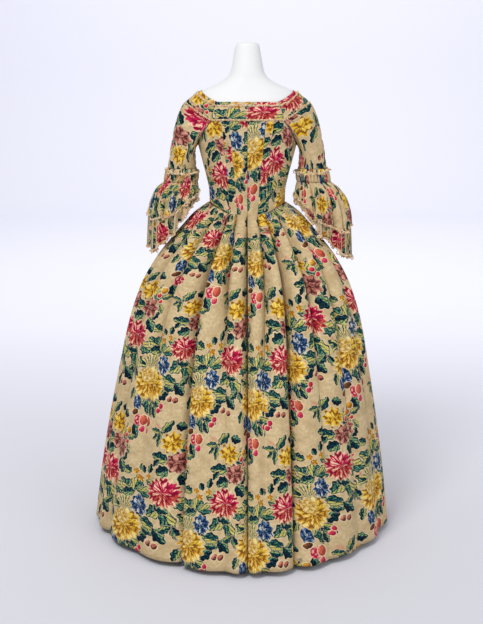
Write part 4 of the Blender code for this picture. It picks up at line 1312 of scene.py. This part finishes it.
def sprig(bench, given, place):
    """A fern sprig: short strokes on both sides of a fine stem."""
    x, y, _ = bench.split(place)
    side = bench.math("ABSOLUTE", y)
    strokes = bench.wave(bench.times(side, -0.35, plus=x), 19.0)
    reach = bench.times(bench.times(x, x), -0.8, plus=0.9)
    inside = bench.math("MINIMUM", bench.math("SUBTRACT", reach, side), bench.times(strokes, 0.5))
    ends = bench.math("SUBTRACT", 1.0, bench.math("ABSOLUTE", x))
    stem = bench.math("MINIMUM", bench.math("SUBTRACT", 0.09, side), ends)
    cover = bench.span(bench.math("MAXIMUM", inside, bench.times(stem, 4.0)), 0.02, 0.14)
    return bench.blend(cover, given["Cloth"], given["Ink"])


# The repeat, in millimetres from the heart of its peony: across, up, turn, half length, half width, light.
LEAVES = (
    (-6, 108, 150, 30, 17, 0.56), (20, 117, 75, 26, 18, 0.62), (48, 104, 20, 29, 16, 0.56),
    (-14, 150, 160, 18, 12, 0.46), (-2, 90, 190, 24, 13, 0.40), (53, 172, 80, 15, 9, 0.26),
    (29, 163, 110, 12, 9, 0.28), (60, 134, -10, 18, 11, 0.50), (79, 208, 172, 29, 16, 0.46),
    (69, 193, 232, 14, 8, 0.26), (90, 174, 200, 21, 17, 0.34), (148, 156, -50, 25, 17, 0.34),
    (158, 182, 60, 15, 10, 0.30), (147, 93, -18, 27, 19, 0.60), (84, 64, 214, 32, 19, 0.54),
    (118, 46, -58, 33, 19, 0.58), (98, 74, -20, 22, 13, 0.40), (134, 18, -78, 19, 9, 0.24),
    (64, 24, 160, 31, 15, 0.50), (100, 2, -45, 25, 16, 0.32), (112, 22, 40, 18, 11, 0.44),
    (49, -18, 30, 26, 17, 0.34), (12, -54, -82, 31, 19, 0.54), (34, -48, -34, 29, 15, 0.46),
    (-12, -46, 235, 25, 13, 0.50), (66, 2, -10, 20, 10, 0.40), (28, -70, -70, 20, 11, 0.36),
    (-8, -134, -80, 17, 11, 0.30), (-48, -38, 250, 20, 11, 0.46), (-50, 14, 120, 20, 10, 0.32),
    (-36, 52, 140, 22, 10, 0.36), (86, 292, 48, 27, 12, 0.46), (60, 266, 218, 22, 9, 0.46),
    (66, 254, 262, 20, 8, 0.46), (51, 277, 178, 17, 8, 0.52), (126, 296, -15, 20, 12, 0.28),
    (145, 243, 12, 21, 20, 0.58), (-12, 258, -70, 23, 12, 0.28), (-20, 238, 18, 14, 9, 0.54),
    (-24, 205, -60, 15, 8, 0.60), (-42, 212, 250, 13, 7, 0.58),
)
# Across, up, turn, half width, half height, petals, rings, ragged, share of the low tone, four tones.
FLOWERS = (
    (0, -2, 0, 50, 46, 17, 1.9, 0.08, 0.75,
     shown(128, 84, 34), shown(218, 174, 44), shown(238, 214, 132), shown(206, 148, 40)),
    (-8, 21, 0, 19, 18, 7, 1.3, 0.03, 0.0,
     shown(176, 128, 34), shown(212, 184, 112), shown(226, 206, 156), shown(212, 184, 112)),
    (35, 61, 20, 26, 30, 9, 1.5, 0.10, 0.9,
     shown(14, 34, 66), shown(76, 110, 144), shown(212, 212, 200), shown(30, 66, 108)),
    (100, 117, 0, 47, 42, 19, 1.6, 0.10, 0.9,
     shown(132, 12, 42), shown(196, 28, 78), shown(242, 200, 168), shown(188, 80, 62)),
    (128, 200, 0, 33, 31, 8, 1.4, 0.12, 0.5,
     shown(84, 38, 36), shown(182, 112, 98), shown(214, 158, 136), shown(140, 76, 66)),
    (106, 253, 12, 33, 31, 9, 1.4, 0.16, 0.0,
     shown(132, 84, 26), shown(220, 174, 42), shown(238, 208, 110), shown(220, 174, 42)),
    (-3, -106, 0, 20, 18, 5, 2.2, 0.05, 0.0,
     shown(150, 20, 56), shown(202, 40, 82), shown(236, 176, 156), shown(202, 40, 82)),
    (-22, -62, 12, 15, 25, 7, 1.0, 0.03, 0.6,
     shown(16, 36, 70), shown(78, 108, 144), shown(196, 204, 200), shown(40, 72, 112)),
    (14, 150, 0, 10, 9, 5, 1.2, 0.16, 0.0,
     shown(142, 92, 24), shown(212, 150, 44), shown(232, 190, 96), shown(212, 150, 44)),
    (27, 134, 40, 10, 10, 5, 1.2, 0.16, 0.0,
     shown(142, 92, 24), shown(206, 140, 40), shown(232, 186, 96), shown(206, 140, 40)),
    (51, 149, 15, 10, 9, 5, 1.2, 0.16, 0.0,
     shown(142, 92, 24), shown(212, 150, 44), shown(232, 190, 96), shown(212, 150, 44)),
)
# Across, up, turn, half width, half height, three tones.
BERRIES = (
    (9, -104, 10, 12, 15, shown(150, 60, 50), shown(204, 94, 72), shown(222, 130, 100)),
    (8, -129, 0, 9, 9, shown(170, 36, 70), shown(208, 66, 92), shown(236, 170, 150)),
    (-24, -86, 20, 12, 8, shown(66, 36, 26), shown(104, 60, 38), shown(150, 96, 60)),
    (45, -63, 0, 9, 8, shown(150, 24, 56), shown(204, 48, 82), shown(236, 176, 150)),
    (52, -50, 30, 7, 8, shown(150, 24, 56), shown(196, 40, 76), shown(226, 130, 120)),
    (77, -26, 0, 9, 9, shown(70, 32, 30), shown(190, 112, 92), shown(226, 176, 146)),
    (94, -28, 0, 9, 9, shown(70, 32, 30), shown(182, 100, 84), shown(220, 160, 132)),
    (-32, 256, 0, 9, 10, shown(140, 88, 24), shown(210, 146, 46), shown(232, 190, 100)),
    (-41, 240, 0, 7, 7, shown(160, 30, 50), shown(212, 58, 74), shown(232, 140, 110)),
    (-32, 224, 0, 6, 6, shown(160, 30, 50), shown(206, 50, 70), shown(232, 140, 110)),
)
# Across, up, turn, half length, half width, ink.
SPRIGS = (
    (22, -79, 38, 19, 8, shown(26, 66, 72)),
    (-6, 78, 120, 14, 8, shown(222, 206, 160)),
    (130, 160, 92, 15, 9, shown(206, 206, 150)),
    (150, 64, 78, 11, 5, shown(196, 44, 78)),
    (57, 291, 150, 12, 7, shown(204, 126, 108)),
    (144, 266, 60, 9, 6, shown(30, 72, 74)),
    (112, 226, 100, 13, 2, shown(20, 50, 66)),
    (62, 148, 20, 9, 5, shown(112, 142, 104)),
)
GRASS = (-4, 36, 0, 48, 48)
FLOWER_COLUMNS = ("Petals", "Rings", "Ragged", "Low Share", "Deep", "Main", "Bright", "Low")
BERRY_COLUMNS = ("Deep", "Main", "Bright")


def figured_silk_group():
    """The whole repeat on its tan ground, read at the cloth's threads in metres."""
    tree, bench, given, result = tree_of("ShaderNodeTree", "figured_silk", (("Threads", "Vector", None),),
                                         (("Cloth", "Color"), ("Brush", "Float")))
    threads = given["Threads"]
    wander = bench.noise(threads, 95.0, 1.0, "Color")
    tremble = bench.noise(threads, 420.0, 1.0, "Color")
    moved = bench.vector("SUBTRACT", threads, (0.0036, 0.0036, 0.0))
    moved = bench.vector("MULTIPLY_ADD", wander, (0.0056, 0.0056, 0.0), moved)
    moved = bench.vector("MULTIPLY_ADD", tremble, (0.0016, 0.0016, 0.0), moved)
    brush = bench.noise(bench.vector("MULTIPLY", threads, (1.0, 0.8, 0.0)), 260.0, 2.0)
    specks = bench.noise(bench.vector("MULTIPLY", threads, (1.0, 1.0, 0.0)), 900.0, 1.0)
    silk = bench.ramp(bench.noise(threads, 120.0, 3.0), (0.30, shown(190, 166, 124)),
                      (0.50, shown(208, 184, 141)), (0.72, shown(219, 197, 156)))
    silk = bench.blend(bench.span(specks, 0.60, 0.74), silk, shown(184, 166, 130))
    stain = bench.span(bench.noise(threads, 24.0, 2.0), 0.40, 0.66, 0.0, 0.55)
    silk = bench.blend(stain, silk, shown(176, 150, 108))

    def layer(group, silk, row, extra):
        # Each layer waits for the one below it, so the renderer holds one at a time.
        after = bench.vector("MULTIPLY_ADD", silk, (1e-9, 1e-9, 1e-9), moved)
        across, up, turn, half_length, half_width = row[:5]
        feeds = {"Threads": after, "Place": (across / 1000, up / 1000, 0.0),
                 "Turn": (0.0, 0.0, math.radians(turn)),
                 "Size": (half_length / 1000, half_width / 1000, 1.0), "Cloth": silk, "Brush": brush}
        return bench.put("ShaderNodeGroup", feeds=(feeds | extra).items(), node_tree=group)

    leaves = motif_group("silk_leaf", (("Light", "Float", 0.5),), leaf)
    flowers = motif_group("silk_flower", PETAL_INPUTS + TONE_INPUTS + LOW_INPUTS, flower)
    berries = motif_group("silk_berry", TONE_INPUTS, berry)
    blades = motif_group("silk_grass", (), grass)
    sprigs = motif_group("silk_sprig", (("Ink", "Color", None),), sprig)
    layers = ((sprigs, SPRIGS, ("Ink",)), (leaves, LEAVES, ("Light",)), (blades, (GRASS,), ()),
              (flowers, FLOWERS, FLOWER_COLUMNS), (berries, BERRIES, BERRY_COLUMNS))
    for group, rows, columns in layers:
        for row in rows:
            silk = layer(group, silk, row, dict(zip(columns, row[5:])))
    bench.feed(result[0], silk)
    bench.feed(result[1], brush)
    return tree


def weave_group():
    """Height of a plain weave with slubs, on the cloth's own threads."""
    tree, bench, given, result = tree_of("ShaderNodeTree", "plain_weave",
                                         (("Threads", "Vector", None), ("Pitch", "Float", 0.0008)),
                                         (("Height", "Float"), ("Wear", "Float")))
    across, along, _ = bench.split(given["Threads"])
    rate = bench.math("DIVIDE", 2 * math.pi, given["Pitch"])
    slub = bench.noise(bench.vector("MULTIPLY", given["Threads"], (0.12, 1.0, 0.0)), 900.0, 2.0)
    weave = bench.times(bench.wave(across, rate), bench.wave(along, rate))
    bench.feed(result[0], bench.times(weave, 0.25, plus=slub))
    bench.feed(result[1], bench.noise(given["Threads"], 14.0, 3.0))
    return tree


def finish_of(name, *settings):
    made = bpy.data.materials.new(name)
    made.use_nodes = True
    for socket, value in settings:
        made.node_tree.nodes["Principled BSDF"].inputs[socket].default_value = value
    return made, Bench(made.node_tree)


def lay_on(bench, colour, roughness, relief=()):
    """Joins a colour, a roughness and a relief, which is its strength, distance and height, to a finish."""
    shader = bench.tree.nodes["Principled BSDF"].inputs
    bench.feed(shader["Base Color"], colour)
    bench.feed(shader["Roughness"], roughness)
    if relief:
        feeds = zip(("Strength", "Distance", "Height"), relief)
        bench.feed(shader["Normal"], bench.put("ShaderNodeBump", feeds=feeds))


def silk_finish(figured, weave):
    made, bench = finish_of("figured_silk", ("Sheen Weight", 0.015), ("Sheen Roughness", 0.45),
                            ("Specular IOR Level", 0.06))
    threads = bench.put("ShaderNodeUVMap", uv_map="threads")
    colour, brush = bench.put("ShaderNodeGroup", feeds=((0, threads),), node_tree=figured).node.outputs
    height = bench.put("ShaderNodeGroup", feeds=((0, threads),), node_tree=weave)
    lay_on(bench, colour, bench.span(brush, 0.3, 0.7, 0.62, 0.50), (0.35, 0.00025, height))
    return made


def linen_finish(weave):
    made, bench = finish_of("linen_lining", ("Sheen Weight", 0.10), ("Specular IOR Level", 0.25))
    threads = bench.put("ShaderNodeUVMap", uv_map="threads")
    feeds = ((0, threads), (1, 0.0011))
    height, wear = bench.put("ShaderNodeGroup", feeds=feeds, node_tree=weave).node.outputs
    colour = bench.ramp(wear, (0.3, shown(182, 164, 132)), (0.7, shown(204, 188, 158)))
    lay_on(bench, colour, bench.span(wear, 0.3, 0.7, 0.85, 0.75), (0.4, 0.0004, height))
    return made


def thread_finish():
    made, bench = finish_of("fringe_thread", ("Sheen Weight", 0.15), ("Specular IOR Level", 0.30))
    where = bench.put("ShaderNodeTexCoord", out="Object")
    twist = bench.noise(where, 1500.0, 1.0)
    colour = bench.ramp(bench.noise(where, 160.0, 2.0), (0.34, shown(224, 160, 110)),
                        (0.48, shown(246, 212, 164)), (0.62, shown(252, 236, 204)))
    lay_on(bench, colour, bench.span(twist, 0.3, 0.7, 0.72, 0.58), (0.4, 0.0003, twist))
    return made


def form_finish():
    made, bench = finish_of("form_cover", ("Specular IOR Level", 0.35))
    where = bench.put("ShaderNodeTexCoord", out="Object")
    grain = bench.noise(where, 900.0, 2.0)
    cloud = bench.noise(where, 6.0, 3.0)
    colour = bench.ramp(cloud, (0.3, shown(230, 230, 229)), (0.7, shown(235, 235, 234)))
    lay_on(bench, colour, bench.span(grain, 0.3, 0.7, 0.62, 0.50), (0.15, 0.0003, grain))
    return made


def paint_finish():
    made, bench = finish_of("stand_paint", ("Coat Weight", 0.2))
    where = bench.put("ShaderNodeTexCoord", out="Object")
    cloud = bench.noise(where, 9.0, 3.0)
    peel = bench.noise(where, 420.0, 2.0)
    colour = bench.ramp(cloud, (0.3, shown(226, 226, 224)), (0.7, shown(236, 236, 234)))
    lay_on(bench, colour, bench.span(cloud, 0.3, 0.7, 0.42, 0.32), (0.1, 0.0004, peel))
    return made


# Studio

# Lamps: name, place, aim, size in metres, power in watts.
LAMPS = (
    ("key", (1.5, 2.9, 4.2), (0, 0, 0.9), 1.6, 106.0),
    ("fill", (-3.0, 3.4, 2.4), (0, 0, 0.8), 2.6, 38.0),
    ("wall", (-0.5, -4.2, 6.2), (-0.5, -9.2, 2.0), 7.5, 262.0),
)
ROOM_COLOUR, ROOM_LIGHT = (0.95, 0.96, 1.0, 1.0), 0.56
SWEEP_HALF = 9.5                # half the width of floor and wall
SWEEP_CORNER = 1.6              # radius between them
FOCAL_PX, PHOTO_WIDTH_PX, SENSOR_MM = 1084, 483, 36.0
EYE = (0.018, 3.40, 1.35)
EYE_TILT = 11.8                 # degrees below level


def sweep():
    """Floor and wall in one, joined by a rounded corner, with painted shade: darker on the floor towards the
    front, lighter towards the back and up the wall.
    """
    made, bench = finish_of("studio_sweep", ("Specular IOR Level", 0.2))
    where = bench.put("ShaderNodeTexCoord", out="Object")
    _, y, z = bench.split(where)
    # Painted shade: the colour darkens on the floor towards the front and lightens towards the back and up the
    # wall.
    tone = bench.span(bench.math("ADD", y, bench.times(z, -1.0)), 1.4, -2.6)
    lay_on(bench, bench.ramp(tone, (0.0, shown(217, 217, 223)), (1.0, shown(242, 242, 251))),
           bench.span(bench.noise(where, 3.0, 1.0), 0.3, 0.7, 0.8, 0.9))
    profile = [(y, 0.0) for y in (9.5, 3.0, 0.0, -4.0, -8.0)]
    profile += [(-8.0 - SWEEP_CORNER * math.sin(a), SWEEP_CORNER - SWEEP_CORNER * math.cos(a))
                for a in np.linspace(0.05, math.pi / 2, 24)]
    profile += [(-9.6, 3.0), (-9.6, 9.0)]
    points = [(x, y, z) for y, z in profile for x in (-SWEEP_HALF, SWEEP_HALF)]
    faces = [(2 * i + 1, 2 * i + 3, 2 * i + 2, 2 * i) for i in range(len(profile) - 1)]
    piece_of(mesh_of("studio_sweep", points, faces), "studio_sweep", (made,))


def lights():
    world = bpy.data.worlds.new("studio")
    world.use_nodes = True
    room = world.node_tree.nodes["Background"].inputs
    room[0].default_value, room[1].default_value = ROOM_COLOUR, ROOM_LIGHT
    bpy.context.scene.world = world
    for name, place, aim, size, power in LAMPS:
        light = bpy.data.lights.new(name, "AREA")
        light.size = size
        light.energy = power
        lamp = put_in_scene(name, light)
        lamp.location = place
        way = np.array(aim) - np.array(place)
        flat = math.hypot(way[0], way[1])
        lamp.rotation_euler = (math.atan2(flat, -way[2]), 0.0, math.atan2(way[1], way[0]) - math.pi / 2)


def camera():
    lens = bpy.data.cameras.new("view")
    lens.sensor_fit = "HORIZONTAL"
    lens.sensor_width = SENSOR_MM
    lens.lens = FOCAL_PX / PHOTO_WIDTH_PX * SENSOR_MM
    eye = put_in_scene("view", lens)
    eye.location = EYE
    eye.rotation_euler = (math.radians(90 - EYE_TILT), 0.0, math.pi)
    bpy.context.scene.camera = eye
    bpy.context.scene.view_settings.view_transform = "Standard"


def build():
    weave = weave_group()
    cloth = silk_finish(figured_silk_group(), weave), linen_finish(weave)
    thread, cover, paint = thread_finish(), form_finish(), paint_finish()
    loop = loop_of_thread()
    tools = fringe_tree(), loop, thread
    sheets = []
    for number, (side, sign) in enumerate(SIDES):
        sheets += [maker(side, sign, cloth) for maker in (gown_back, bodice_front)]
        sheets += [skirt_width(name, pleats, side, sign, cloth) for name, pleats in SKIRT_WIDTHS]
        sheets += [maker(side, sign, cloth) for maker in (robing, sleeve, heading)]
        for tier in ("upper", "lower"):
            made, grid = flounce(tier, side, sign, cloth)
            sheets.append(made)
            flounce_fringe(tier, side, sign, grid, 11 + number, tools)
        sleeve_braid(side, sign, 31 + number, tools)
        robing_braid(side, sign, 41 + number, tools)
    sheets.append(neck_band(cloth))
    neck_braid(51, tools)
    bpy.data.objects.remove(loop, do_unlink=True)
    dress_form(cover)
    stand(paint)


build()
sweep()
lights()
camera()
